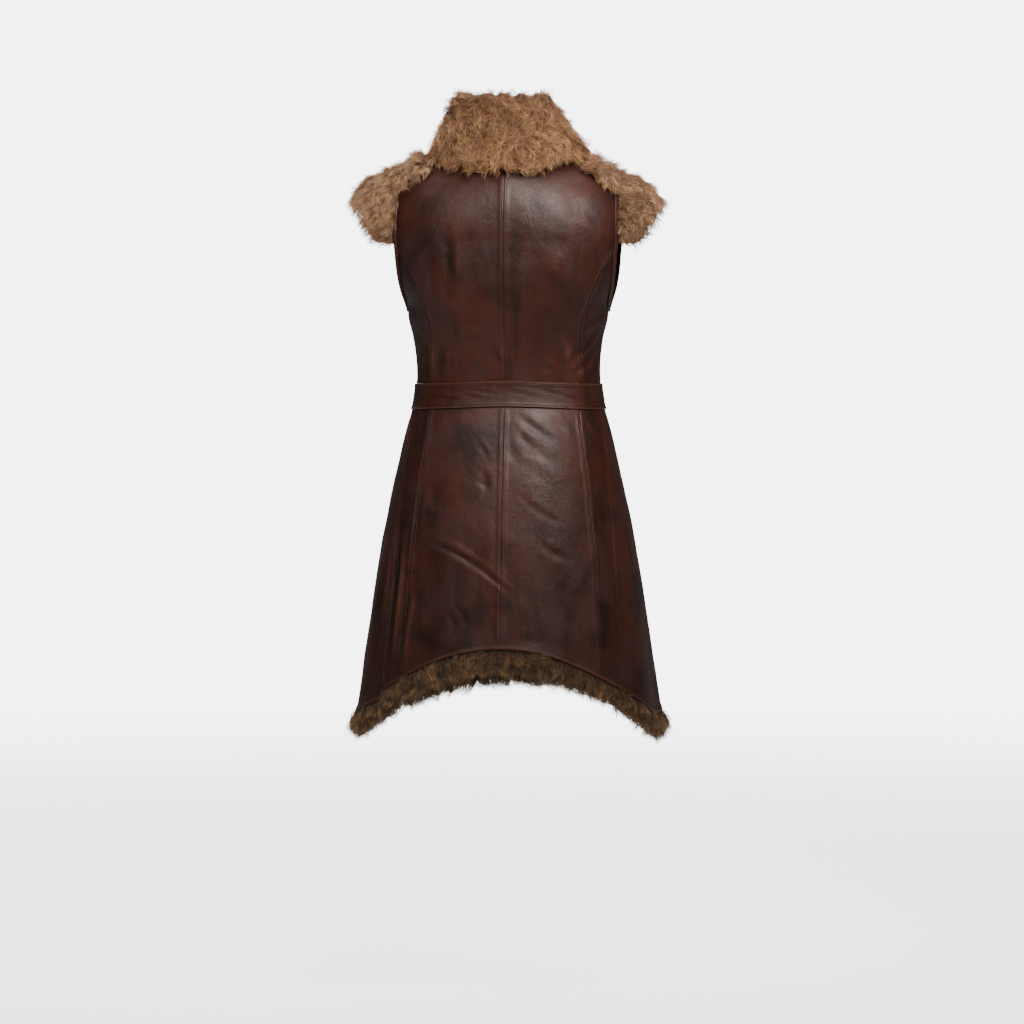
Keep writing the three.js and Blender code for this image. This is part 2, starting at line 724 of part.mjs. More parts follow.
// The outline of the collar at one place on the neckline: up the stand, over the roll and
// down the fall, then back up inside it.
function collarOutline(turned, sign) {
  const value = (column) => read(collarFrames, "angle", column, turned);
  const direction = new THREE.Vector3(Math.sin(turned * degrees), Math.cos(turned * degrees), 0);
  const depth = direction.y > 0 ? neckline.back : neckline.front;
  const reach = 1 / Math.hypot(direction.x / neckline.side, direction.y / depth);
  const seam = direction.clone().multiplyScalar(reach);
  seam.z = shoulderHeight(seam.x, seam.y) + 2 * collarClear;
  const roll = seam.clone().addScaledVector(direction, value("lean"));
  roll.z += value("stand");
  const back = value("edgeDown") >= 0 ? 1 : -1;
  const level = -Math.abs(value("edgeDown"));
  const angle = angleOf(level, Math.max(0.01, value("edgeX")), back);
  const edge = coatPoint(angle, level);
  const normal = coatNormal(angle, level);
  const fall = edge.clone().sub(roll).normalize();
  const place = (base, out, up) => {
    const point = base.clone().addScaledVector(direction, out);
    point.z += up;
    return point;
  };
  const between = (t) => seam.clone().lerp(roll, t);
  const outline = [
    place(seam, -9, 0.3),
    place(between(0.5), -11, 0),
    place(roll, -15, -12),
    place(roll, -4, 0),
    place(roll, 9, -2),
    place(roll, 22, -18),
    place(roll.clone().lerp(edge, 0.6), 12, 0).addScaledVector(normal, 14),
    place(edge, 10, 0).addScaledVector(normal, 20),
    edge.clone().addScaledVector(normal, 9).addScaledVector(fall, 5),
    edge.clone().addScaledVector(normal, collarClear),
    place(between(0.42), 16, 0),
    place(seam, 11, 0.3),
  ];
  return outline.map((point) => new THREE.Vector3(point.x * sign, point.y, point.z));
}

function addCollar() {
  const end = collarFrames.at(-1).angle;
  const steps = 14;
  const half = (sign) => {
    const outlines = [];
    for (let i = 1; i <= steps; i += 1) outlines.push(collarOutline((end * i) / steps, sign));
    const last = outlines.at(-1);
    const middle = last.reduce((sum, p) => sum.add(p), new THREE.Vector3()).divideScalar(last.length);
    const onward = new THREE.Vector3(collarEnd.across * sign, collarEnd.forward, collarEnd.up);
    outlines.push(last.map((point) => point.clone().lerp(middle, collarEnd.taper).add(onward)));
    return outlines;
  };
  const outlines = [...half(-1).reverse(), collarOutline(0, 1), ...half(1)];
  addPiece("fur_collar", finish.collar, sweep(outlines));
}

export default coat;
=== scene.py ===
import json
import math

import bpy
import numpy as np
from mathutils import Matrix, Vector

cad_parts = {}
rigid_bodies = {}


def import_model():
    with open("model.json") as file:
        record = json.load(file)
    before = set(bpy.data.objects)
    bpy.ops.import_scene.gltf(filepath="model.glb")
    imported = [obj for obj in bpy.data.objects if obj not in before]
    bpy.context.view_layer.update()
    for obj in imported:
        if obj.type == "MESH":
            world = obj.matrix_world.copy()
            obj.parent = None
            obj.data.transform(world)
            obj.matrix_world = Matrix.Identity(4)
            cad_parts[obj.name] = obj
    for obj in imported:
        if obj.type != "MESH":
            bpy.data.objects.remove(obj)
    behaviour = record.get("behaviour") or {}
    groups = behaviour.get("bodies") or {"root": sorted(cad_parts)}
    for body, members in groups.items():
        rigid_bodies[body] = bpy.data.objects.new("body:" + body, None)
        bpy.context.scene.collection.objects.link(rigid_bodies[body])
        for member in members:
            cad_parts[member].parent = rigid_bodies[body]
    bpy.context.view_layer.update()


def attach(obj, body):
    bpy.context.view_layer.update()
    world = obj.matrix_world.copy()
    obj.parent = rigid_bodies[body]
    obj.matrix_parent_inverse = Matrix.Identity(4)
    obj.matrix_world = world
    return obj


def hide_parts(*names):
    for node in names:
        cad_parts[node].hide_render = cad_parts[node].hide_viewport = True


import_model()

# A leather coat without sleeves, with fur at the collar, shoulders and hem.
# Forms are worked out in millimetres and brought to metres when a mesh is made.
mm = 0.001
degree = math.pi / 180

coat = {
    "roll": -140,  # above this the cloth turns over the shoulders
    "princessTop": -156,
    "underarm": -262,
    "waistSeam": -424,
    "hemBack": -888,
    "hemSide": -1015,
    "hemFront": -938,
    "hemPower": 2.1,  # how sharply the hem falls to its side points
    "skirtStart": -476,  # below this a skirt row closes in on the hem
    "skirtLong": 480,
    "seamGap": -0.1,  # panels meet with a little overlap
    "hide": 1.6,  # thickness of the leather
    "neckX": 75,
    "neckZ": 22,
    "tipX": 207,
    "slope": 0.36,
    "neckBack": 60,
    "neckFront": 100,
    "cell": 5.5,  # size of the mesh's cells
}

# Height, half width, depth to the back, depth to the front, squareness.
sections = np.array([
    (-1120, 299, 219, 209, 2.3),
    (-1020, 284, 209, 199, 2.3),
    (-900, 267, 195, 182, 2.3),
    (-800, 252, 181, 167, 2.3),
    (-700, 236, 165, 151, 2.3),
    (-600, 216, 145, 133, 2.3),
    (-520, 198, 125, 121, 2.3),
    (-480, 188, 112, 115, 2.3),
    (-448, 178, 101, 111, 2.3),
    (-424, 174, 96, 109, 2.3),
    (-400, 171, 94, 109, 2.3),
    (-360, 171, 98, 112, 2.3),
    (-316, 177, 108, 118, 2.35),
    (-288, 184, 115, 121, 2.4),
    (-262, 188, 121, 123, 2.45),
    (-225, 203, 125, 123, 2.65),
    (-190, 212, 127, 119, 2.8),
    (-140, 218, 124, 106, 3),
], float)

# Height, and distance of the long back seam from the centre.
princessSeam = np.array([
    (-1020, 186), (-900, 180), (-805, 174), (-716, 168), (-600, 157), (-520, 146), (-456, 138),
    (-394, 139), (-350, 136), (-312, 137), (-279, 142), (-254, 152), (-225, 165), (-190, 181),
    (-156, 202),
], float)

# Height, and angle of the side seam round from the centre back.
sideSeam = np.array([
    (-1020, 57), (-800, 60), (-660, 65), (-520, 73), (-424, 80), (-262, 90),
], float)

# Angle, width, depth, top, foot.
flutes = [
    (71, 7, 8, -540, -1000),
    (27, 10, 4, -660, -940),
    (9, 6, -4, -720, -920),
    (-14, 8, 3, -700, -930),
    (-38, 8, -4, -640, -980),
    (-63, 9, 6, -560, -1000),
    (-84, 8, -6, -600, -1000),
    (-106, 10, 6, -560, -1000),
    (-134, 9, -6, -620, -980),
    (97, 8, -6, -600, -1000),
    (118, 10, 7, -580, -1000),
    (143, 9, -5, -640, -960),
]
pleat = {"depth": 12, "drop": 12, "start": 0.5, "rise": 5, "width": 28, "top": -560, "foot": -980}


def mix(a, b, t):
    return a + (b - a) * t


def ease(t):
    u = np.clip(t, 0, 1)
    return u * u * (3 - 2 * u)


def bell(distance, width):
    return np.exp(-((distance / width) ** 2))


# A column of a table at any place between its rows, on a smooth curve through them.
def read(table, at, column=1):
    places, values = table[:, 0], table[:, column]
    slopes = np.empty_like(values)
    slopes[1:-1] = (values[2:] - values[:-2]) / (places[2:] - places[:-2])
    slopes[0] = (values[1] - values[0]) / (places[1] - places[0])
    slopes[-1] = (values[-1] - values[-2]) / (places[-1] - places[-2])
    k = np.clip(np.searchsorted(places, at) - 1, 0, len(places) - 2)
    span = places[k + 1] - places[k]
    t = np.clip((at - places[k]) / span, 0, 1)
    smooth = mix(values[k], values[k + 1], 3 * t * t - 2 * t**3)
    return smooth + slopes[k] * span * t * (1 - t) ** 2 - slopes[k + 1] * span * t * t * (1 - t)


def sectionAt(level):
    at = np.minimum(level, coat["roll"])
    return [read(sections, at, column) for column in (1, 2, 3, 4)]


def reachAt(angle, level):
    halfWidth, back, front, square = sectionAt(level)
    depth = np.where(np.cos(angle) > 0, back, front)
    across = np.abs(np.sin(angle) / halfWidth) ** square
    along = np.abs(np.cos(angle) / depth) ** square
    return (across + along) ** (-1 / square)


def angleOf(level, x, back):
    halfWidth, depthBack, depthFront, square = sectionAt(level)
    depth = np.where(np.asarray(back) > 0, depthBack, depthFront)
    left = np.maximum(0, 1 - np.abs(x / halfWidth) ** square)
    return np.arctan2(x, back * depth * left ** (1 / square))


def shoulderLine(x):
    return coat["neckZ"] + (coat["neckX"] - np.abs(x)) * coat["slope"]


def sideAngle(level):
    return read(sideSeam, level) * degree


def princessAngle(level):
    return angleOf(level, read(princessSeam, level), 1)


def fluteAt(angle, level):
    turned = angle / degree
    out = np.zeros(np.broadcast(angle, level).shape)
    for centre, width, depth, top, foot in flutes:
        out += depth * bell(turned - centre, width) * ease((top - level) / (top - foot))
    past = turned - sideAngle(level) / degree - pleat["start"]
    opened = ease((pleat["top"] - level) / (pleat["top"] - pleat["foot"]))
    fade = np.maximum(0, 1 - past / pleat["width"]) ** 1.5
    return out - pleat["depth"] * opened * ease(past / pleat["rise"]) * fade * (past > 0)


# The coat's outer face: level is the height up to the roll, and from there to 0 the share of
# the quarter turn that brings the cloth over the shoulder.
def coatPoint(angle, level):
    angle, level = np.broadcast_arrays(np.asarray(angle, float), np.asarray(level, float))
    reach = reachAt(angle, level)
    x, y = reach * np.sin(angle), reach * np.cos(angle)
    out = 1 + fluteAt(angle, level) / reach
    over = level > coat["roll"]
    turn = np.where(over, (1 - level / coat["roll"]) * math.pi / 2, 0)
    top = coat["roll"] + (shoulderLine(x) - coat["roll"]) * np.sin(turn)
    return np.stack([x * out, y * out * np.cos(turn), np.where(over, top, level)], -1)


def unit(v):
    return v / np.maximum(1e-9, np.linalg.norm(v, axis=-1, keepdims=True))


def coatNormal(angle, level):
    step = 0.4 * degree
    around = coatPoint(angle + step, level) - coatPoint(angle - step, level)
    up = coatPoint(angle, level + 1) - coatPoint(angle, level - 1)
    return -unit(np.cross(around, up))


def armholeAngle(level, back):
    roll = coat["roll"]
    top = angleOf(roll, coat["tipX"], back)
    fall = np.clip((level - roll) / (coat["underarm"] - roll), 0, 1)
    opened = np.sqrt(1 - fall**2)
    halfWidth, depthBack, depthFront, square = sectionAt(roll)
    ratio = (1 - (coat["tipX"] / halfWidth) ** square) ** (1 / square)
    halfWidth, depthBack, depthFront, square = sectionAt(level)
    depth = (depthBack if back > 0 else depthFront) * ratio * opened
    x = halfWidth * (1 - (ratio * opened) ** square) ** (1 / square)
    return np.where(level >= roll, top, np.arctan2(x, back * depth))


def bodiceEdge(level, back):
    return np.where(level > coat["underarm"], armholeAngle(level, back), sideAngle(level))


def hemHeight(angle):
    side = coat["hemSide"]
    share = np.abs(reachAt(angle, side) * np.sin(angle) / sectionAt(side)[0])
    centre = np.where(np.cos(angle) > 0, coat["hemBack"], coat["hemFront"])
    return mix(centre, side, share ** coat["hemPower"])


def hemDrop(angle):
    past = angle / degree - sideAngle(coat["hemSide"]) / degree
    return pleat["drop"] * np.maximum(0, 1 - past / pleat["width"]) ** 1.5 * (past > 0)


def skirtLevel(angle, share):
    level = mix(coat["skirtStart"], hemHeight(angle), share)
    return level - hemDrop(angle) * np.maximum(0, (share - 0.8) / 0.2) ** 2


def halfGap(angle, level):
    return coat["seamGap"] / 2 / reachAt(angle, level)


def centreBack(level):
    return coat["seamGap"] / 2 / reachAt(np.zeros_like(level), level)


def centreFront(level):
    return math.pi - coat["seamGap"] / 2 / reachAt(np.full_like(level, math.pi), level)


def beside(seam, way):
    return lambda level: seam(level) + way * halfGap(seam(level), level)


edges = {
    "centreBack": centreBack,
    "princessIn": beside(princessAngle, -1),
    "princessOut": beside(princessAngle, 1),
    "sideIn": beside(sideAngle, -1),
    "sideOut": beside(sideAngle, 1),
    "backArm": beside(lambda level: bodiceEdge(level, 1), -1),
    "frontArm": beside(lambda level: bodiceEdge(level, -1), 1),
    "centreFront": centreFront,
}


# Stops beside a seam, so that its groove and stitch line have cells of their own.
edgeStops = np.array([0, 0.8, 1.8, 3.2, 4.0, 4.8, 6.4, 9.0])


# How far along a line each of its points lies.
def runAlong(points):
    return np.concatenate([[0], np.cumsum(np.linalg.norm(np.diff(points, axis=0), axis=1))])


def spreadRow(angles, levels, inner):
    run = runAlong(coatPoint(angles, levels))
    wide = run[-1]
    near = edgeStops * min(1, wide / (2.4 * edgeStops[-1]))
    middle = np.linspace(near[-1], wide - near[-1], inner + 2)[1:-1]
    at = np.concatenate([near, middle, wide - near[::-1]])
    return np.interp(at, run, angles), np.interp(at, run, levels), at, wide - at


def gridFrom(rows, inner):
    spread = [spreadRow(angles, levels, inner) for angles, levels in rows]
    return [np.array([row[k] for row in spread]) for k in range(4)]


def levelRows(levels, first, last, sign, samples=33):
    t = np.linspace(0, 1, samples)
    rows = []
    for level in levels:
        at = np.float64(level)
        rows.append((mix(first(at), last(at), t) * sign, np.full(samples, at)))
    return rows


# The height at which a seam meets a row whose height depends on the angle, closed in on step by step.
def meeting(edge, rowHeight, steps=5):
    level = np.float64(coat["hemSide"])
    for _ in range(steps):
        level = rowHeight(edge(level))
    return level


def skirtRows(first, last, sign, samples=33):
    cell, start = coat["cell"], coat["skirtStart"]
    top = np.arange(coat["waistSeam"] - coat["seamGap"] / 2, start, -cell)
    rows = levelRows(top, first, last, sign, samples)
    t = np.linspace(0, 1, samples)
    for share in np.linspace(0, 1, int(coat["skirtLong"] / cell)):
        ends = [
            edge(meeting(edge, lambda angle: mix(start, hemHeight(angle), share))) * sign
            for edge in (first, last)
        ]
        angles = mix(ends[0], ends[1], t)
        rows.append((angles, skirtLevel(angles, share)))
    return rows


# The neckline and the shoulder seam as one row; corner is the column where they meet.
def topRow(back, sign, columns, corner):
    neckX, tipX, stops = coat["neckX"], coat["tipX"], len(edgeStops)
    neck = np.linspace(edgeStops[-1], neckX, corner - stops + 2)[1:]
    beyond = np.linspace(neckX, tipX - edgeStops[-1], columns - corner - stops + 1)[1:-1]
    x = np.concatenate([edgeStops, neck, beyond, tipX - edgeStops[::-1]])
    angle = angleOf(coat["roll"], x, back)
    reach = np.abs(reachAt(angle, coat["roll"]) * np.cos(angle))
    depth = coat["neckBack"] if back > 0 else coat["neckFront"]
    y = depth * np.sqrt(np.maximum(0, 1 - (x / neckX) ** 2))
    level = coat["roll"] * (1 - np.arccos(np.minimum(1, y / reach)) / (math.pi / 2))
    highest = -coat["seamGap"] / 2
    return angle * sign, np.where(x < neckX, np.minimum(highest, level), highest)


# Rows from a grid's last one up to the neckline and the shoulder seam.
def overShoulder(grid, back, sign, steps, corner):
    angle, level, toFirst, toLast = grid
    topAngle, topLevel = topRow(back, sign, angle.shape[1], corner)
    if back < 0:
        topAngle, topLevel = topAngle[::-1], topLevel[::-1]
    t = np.linspace(0, 1, steps + 1)[1:, None]
    more = [
        mix(angle[-1:], topAngle[None], t), mix(level[-1:], topLevel[None], t),
        np.repeat(toFirst[-1:], steps, 0), np.repeat(toLast[-1:], steps, 0),
    ]
    return [np.vstack([old, new]) for old, new in zip(grid, more)]


# Each crease: the places it runs through, its width, how deep it is and how high the ridge
# beside it stands. On the back a place is (how far right of the centre, seen from behind,
# height); elsewhere it is (angle in degrees, height).
backCreases = [
    ([(-104, -128), (-101, -165), (-99, -210), (-103, -262)], 9, 3.0, 1.2),
    ([(-131, -190), (-133, -240), (-138, -300)], 9, 1.6, 0.5),
    ([(80, -135), (98, -150), (120, -152)], 14, 0.9, 0.3),
    ([(150, -84), (163, -104), (180, -128)], 6, 1.8, 0.8),
    ([(164, -250), (152, -268), (146, -292)], 5, 1.5, 0.9),
    ([(172, -276), (158, -292), (140, -301)], 6, 2.2, 1.0),
    ([(176, -252), (166, -262), (150, -262)], 5, 1.2, 0.6),
    ([(170, -296), (152, -328), (130, -352), (114, -374)], 8, 2.4, 2.2),
    ([(166, -326), (150, -356), (126, -388)], 7, 2.6, 2.0),
    ([(90, -296), (99, -340), (112, -388)], 8, 1.5, 1.5),
    ([(-34, -306), (-24, -350), (-8, -390)], 9, 1.0, 1.1),
    ([(-52, -318), (-44, -350), (-30, -382)], 7, 0.6, 0.5),
    ([(-114, -322), (-121, -364), (-119, -398)], 8, 1.8, 1.2),
    ([(-152, -318), (-146, -358), (-147, -396)], 7, 1.9, 1.4),
    ([(30, -200), (44, -240), (52, -290)], 11, 0.8, 0.4),
    ([(-50, -140), (-62, -190), (-70, -250)], 12, 0.7, 0.5),
    ([(-60, -386), (-76, -392), (-95, -391)], 5, 0.8, 0.6),
    ([(60, -380), (84, -377), (110, -381)], 5, 0.7, 0.5),
    # skirt
    ([(12, -454), (40, -476), (76, -500), (104, -514)], 8, 1.2, 0.8),
    ([(6, -462), (26, -494), (58, -526), (92, -552)], 9, 0.9, 0.6),
    ([(2, -474), (10, -510), (26, -552)], 9, 1.1, 0.7),
    ([(60, -454), (88, -472), (118, -500)], 7, 1.0, 0.8),
    ([(-54, -506), (-40, -522), (-26, -540)], 4, 0.8, 0.7),
    ([(-40, -560), (-30, -590), (-34, -612)], 7, 1.7, 0.6),
    ([(-52, -578), (-38, -588), (-20, -590)], 5, 1.0, 0.4),
    ([(-138, -692), (-92, -710), (-46, -736), (-12, -762), (16, -786)], 5, 3.0, 1.8),
    ([(-104, -716), (-72, -730), (-40, -750)], 4, 0.8, 0.7),
    ([(-12, -640), (-4, -700), (14, -760)], 10, 1.0, 0.6),
    ([(22, -600), (70, -640), (118, -664)], 6, 0.6, 0.5),
    ([(64, -690), (98, -716), (140, -730)], 7, 0.7, 0.6),
    ([(110, -800), (128, -840), (134, -890)], 8, 0.9, 0.6),
    ([(-88, -800), (-70, -826), (-62, -850)], 5, 0.8, 0.6),
    ([(-96, -820), (-84, -850), (-80, -872)], 5, 0.7, 0.5),
    ([(58, -800), (66, -836), (68, -872)], 6, 0.9, 0.6),
    ([(-22, -820), (-18, -850), (-10, -880)], 6, 0.8, 0.6),
    ([(-150, -540), (-160, -640), (-166, -720)], 7, 1.6, 1.1),
    ([(-186, -640), (-198, -740), (-206, -850), (-214, -940)], 8, 4.0, 2.4),
    ([(-170, -760), (-182, -860), (-190, -950)], 7, 3.2, 2.0),
    ([(-214, -700), (-228, -800), (-240, -920)], 7, 2.6, 1.8),
    ([(178, -600), (192, -690), (204, -780)], 9, 0.9, 0.7),
    ([(210, -820), (222, -890), (232, -960)], 8, 1.0, 0.7),
]
roundCreases = [
    ([(104, -190), (112, -225), (120, -262)], 9, 1.4, 0.8),
    ([(-102, -188), (-109, -228), (-116, -258)], 8, 1.6, 0.8),
    ([(96, -290), (112, -318), (132, -334)], 7, 1.6, 1.0),
    ([(98, -312), (116, -348), (138, -372)], 7, 1.4, 1.0),
    ([(-94, -286), (-112, -312), (-128, -330)], 7, 1.7, 1.0),
    ([(-92, -320), (-110, -352), (-134, -380)], 8, 1.3, 0.9),
    ([(95, -370), (108, -384), (122, -390)], 5, 1.0, 0.8),
    ([(-96, -362), (-106, -380), (-124, -388)], 5, 1.1, 0.8),
    ([(150, -180), (157, -230), (160, -290)], 10, 1.2, 0.6),
    ([(-148, -170), (-156, -220), (-161, -276)], 10, 1.1, 0.6),
    ([(168, -300), (160, -340), (150, -380)], 7, 0.8, 0.6),
    ([(-170, -310), (-160, -352), (-148, -388)], 7, 0.9, 0.6),
    ([(96, -456), (110, -486), (128, -520)], 8, 1.4, 1.0),
    ([(-98, -458), (-110, -490), (-124, -528)], 8, 1.3, 1.0),
    ([(104, -470), (116, -520), (128, -580)], 8, 1.0, 0.8),
    ([(-108, -480), (-118, -540), (-126, -610)], 9, 1.1, 0.8),
    ([(160, -470), (152, -520), (148, -580)], 8, 1.0, 0.7),
    ([(-164, -466), (-154, -520), (-146, -592)], 8, 1.1, 0.7),
    ([(88, -640), (92, -760), (94, -880)], 10, 1.8, 1.2),
    ([(-92, -620), (-96, -740), (-98, -900)], 10, 1.7, 1.2),
    ([(128, -660), (132, -780), (133, -900)], 9, 1.6, 1.0),
    ([(-122, -640), (-124, -780), (-128, -880)], 9, 1.5, 1.0),
    ([(160, -700), (158, -800), (160, -880)], 8, 1.2, 0.8),
    ([(-158, -690), (-160, -780), (-158, -890)], 8, 1.1, 0.8),
    ([(110, -720), (126, -740), (146, -748)], 6, 1.0, 0.8),
    ([(-104, -700), (-122, -726), (-142, -736)], 6, 1.0, 0.8),
]


def backPlace(x, height):
    if height <= coat["roll"]:
        return angleOf(height, x, 1), height
    turn = math.asin(min(1, (height - coat["roll"]) / (shoulderLine(x) - coat["roll"])))
    return angleOf(coat["roll"], x, 1), coat["roll"] * (1 - turn / (math.pi / 2))


def smoothPath(points, count=17):
    knots = np.linspace(0, 1, len(points))
    at = np.linspace(0, 1, count)
    return np.stack([
        read(np.stack([knots, points[:, k]], 1), at) for k in range(points.shape[1])
    ], 1)


creases = []
for places, width, depth, ridge in backCreases:
    onCoat = np.array([backPlace(-right, height) for right, height in places])
    path = smoothPath(onCoat)
    creases.append((coatPoint(path[:, 0], path[:, 1]), width, depth, ridge))
for places, width, depth, ridge in roundCreases:
    path = smoothPath(np.array(places, float) * (degree, 1))
    creases.append((coatPoint(path[:, 0], path[:, 1]), width, depth, ridge))


# Each term is a share of a crease's width, depth or ridge.
creaseForm = {
    "reach": 4, "sharp": 1.6, "ridgeAt": 1.5, "ridgeWide": 0.8, "farAt": 1.6, "farWide": 0.9, "far": 0.5,
    # the next two shares: rubbed wear with a painted highlight on a crease's ridges, and painted shade in its
    # trough
    "ridgeWearAndHighlight": 0.3, "paintedTroughShade": 0.26, "taper": 0.7,
}


# How far creases move points on the coat outwards, with painted shade in their troughs and rubbed wear and a
# painted highlight on their ridges.
def creaseRelief(points, normals):
    form = creaseForm
    height = np.zeros(len(points))
    worn = np.zeros(len(points))
    for number, (path, width, depth, ridge) in enumerate(creases):
        margin = form["reach"] * width
        low, high = path.min(0) - margin, path.max(0) + margin
        near = np.nonzero(np.all((points > low) & (points < high), axis=1))[0]
        if len(near) == 0:
            continue
        here, out = points[near], normals[near]
        best = np.full(len(near), 1e9)
        along, side = np.zeros(len(near)), np.zeros(len(near))
        steps, run = np.diff(path, axis=0), runAlong(path)
        lengths = np.linalg.norm(steps, axis=1)
        for k, step in enumerate(steps):
            offset = here - path[k]
            t = np.clip(offset @ step / lengths[k] ** 2, 0, 1)
            gap = offset - t[:, None] * step
            distance = np.linalg.norm(gap, axis=1)
            closer = distance < best
            best[closer] = distance[closer]
            along[closer] = (run[k] + t[closer] * lengths[k]) / run[-1]
            turned = np.einsum("ij,ij->i", np.cross(step, gap), out)
            side[closer] = np.sign(turned[closer])
        uneven = 1 + 0.25 * np.sin(7 * along + number) + 0.15 * np.sin(17 * along + 2.3 * number)
        swell = 0.75 + 0.5 * np.sin(math.pi * along) ** form["taper"]
        wide = width * swell * (1 + 0.1 * np.sin(9 * along + number))
        taper = np.sin(math.pi * np.clip(along, 0, 1)) ** form["taper"] * uneven
        across = best * side / wide
        trough = np.exp(-(across**2) * form["sharp"])
        ridges = bell(across - form["ridgeAt"], form["ridgeWide"])
        ridges = ridges + form["far"] * bell(across + form["farAt"], form["farWide"])
        height[near] += taper * (ridge * ridges - depth * trough)
        # Painted shade darkens the trough; the ridges get rubbed wear and a painted highlight.
        worn[near] += taper * (form["ridgeWearAndHighlight"] * ridge * ridges - form["paintedTroughShade"] * depth * trough)
    return height, worn


# Direction and pace, height and phase of each wave that makes the hide uneven.
waves = [
    ((0.011, 0.004, 0.009), 0.55, 0.3), ((-0.017, 0.012, 0.013), 0.45, 1.1),
    ((0.024, -0.02, 0.006), 0.35, 2.9), ((0.03, 0.021, -0.024), 0.28, 4.2),
    ((-0.045, 0.03, 0.035), 0.2, 0.8), ((0.061, 0.048, 0.022), 0.14, 5.3),
    ((0.02, 0.07, -0.052), 0.12, 3.7), ((-0.085, -0.04, 0.05), 0.09, 1.9),
]


def unevenness(points):
    total = np.zeros(len(points))
    for way, size, phase in waves:
        swirl = 1.3 * np.sin(points @ (np.roll(np.array(way), 1) * 0.7) + phase * 2)
        total += size * np.sin(points @ np.array(way) + phase + swirl)
    return total


# A seam is two turned edges, with the allowances lying under a row of stitches on each side.
seam = {
    "wide": 5.5, "fade": 3.5, "groove": 0.8, "grooveWide": 1.0,
    "stitchAt": 4.0, "stitchDepth": 0.4, "stitchWide": 0.8,
    # painted shade in the seam's groove, then rubbed wear with a painted highlight along the turned edge
    # beside it
    "dark": 0.6, "darkWide": 0.9, "worn": 0.3, "wearAndHighlightAt": 2.3, "wearAndHighlightWide": 1.4,
    "underTrim": 0.25,  # the share of its height that stays under trim
}


def seamRelief(distance, allowance):
    raised = allowance * (1 - ease((distance - seam["wide"]) / seam["fade"]))
    groove = seam["groove"] * bell(distance, seam["grooveWide"])
    sunk = seam["stitchDepth"] * bell(distance - seam["stitchAt"], seam["stitchWide"])
    return raised - groove - sunk


def cornersOf(*corners):
    return np.stack([corner.ravel() for corner in corners], 1)


def wallFaces(rows, wide, ring=False):
    grid = np.arange(rows * wide).reshape(rows, wide)
    if ring:
        grid = np.vstack([grid, grid[:1]])
    under = grid + rows * wide
    quads = [
        (grid[:-1, :-1], grid[1:, :-1], grid[1:, 1:], grid[:-1, 1:]),
        (under[:-1, :-1], under[:-1, 1:], under[1:, 1:], under[1:, :-1]),
        (grid[1:, 0], grid[:-1, 0], under[:-1, 0], under[1:, 0]),
        (grid[:-1, -1], grid[1:, -1], under[1:, -1], under[:-1, -1]),
    ]
    if not ring:
        quads += [
            (grid[0, :-1], grid[0, 1:], under[0, 1:], under[0, :-1]),
            (grid[-1, 1:], grid[-1, :-1], under[-1, :-1], under[-1, 1:]),
        ]
    return np.vstack([cornersOf(*quad) for quad in quads])


def linked(name, data):
    thing = bpy.data.objects.new(name, data)
    bpy.context.scene.collection.objects.link(thing)
    return thing


sharpFrom = 55 * degree


# Faces are one array, or one each for faces of different numbers of corners.
def makeObject(name, points, faces, material, attributes=None):
    groups = faces if isinstance(faces, tuple) else (faces,)
    volume = 0
    for group in groups:
        corners = [points[group[:, k]] for k in range(group.shape[1])]
        for b, c in zip(corners[1:], corners[2:]):
            volume += np.einsum("ij,ij->i", corners[0], np.cross(b, c)).sum()
    if volume < 0:
        groups = tuple(group[:, ::-1] for group in groups)
    mesh = bpy.data.meshes.new(name)
    mesh.from_pydata((points * mm).tolist(), [], sum([group.tolist() for group in groups], []))
    for key, values in (attributes or {}).items():
        kind = "FLOAT_VECTOR" if np.ndim(values) == 2 else "FLOAT"
        layer = mesh.attributes.new(key, kind, "POINT")
        layer.data.foreach_set("vector" if kind == "FLOAT_VECTOR" else "value", np.ravel(values))
    mesh.shade_smooth()
    mesh.set_sharp_from_angle(angle=sharpFrom)
    mesh.materials.append(material)
    return linked(name, mesh)


def makeWall(name, outer, inner, material, attributes=None, ring=False):
    rows, wide = outer.shape[:2]
    points = np.vstack([outer.reshape(-1, 3), inner.reshape(-1, 3)])
    doubled = {key: np.tile(np.ravel(values), 2) for key, values in (attributes or {}).items()}
    return makeObject(name, points, wallFaces(rows, wide, ring), material, doubled)


# The size a wall was cut to: its longest row and column, and the area between them.
def cutOf(outer):
    across = np.linalg.norm(np.diff(outer, axis=1), axis=2).sum(1).max()
    down = np.linalg.norm(np.diff(outer, axis=0), axis=2).sum(0).max()
    a = outer[1:, :-1] - outer[:-1, :-1]
    b = outer[:-1, 1:] - outer[:-1, :-1]
    c = outer[1:, 1:] - outer[:-1, 1:]
    d = outer[1:, 1:] - outer[1:, :-1]
    area = (np.linalg.norm(np.cross(a, b), axis=2) + np.linalg.norm(np.cross(c, d), axis=2)).sum() / 2
    return across * mm, down * mm, area * mm * mm


cuts = {}


def declareCloth(piece, node, outer):
    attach(piece, "root")
    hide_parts(node)
    across, down, area = cutOf(outer)
    area = min(area, 0.999 * across * down)
    cuts[piece.name] = (round(across, 3), round(down, 3), round(area, 4))
    return piece


def newMaterial(name):
    material = bpy.data.materials.new(name)
    material.use_nodes = True
    tree = material.node_tree
    return material, tree, tree.nodes["Principled BSDF"]


# Gives sockets their values: a link where the value is itself a socket.
def fill(tree, node, values):
    for key, value in values.items():
        if isinstance(value, bpy.types.NodeSocket):
            tree.links.new(value, node.inputs[key])
        else:
            node.inputs[key].default_value = value
    return node


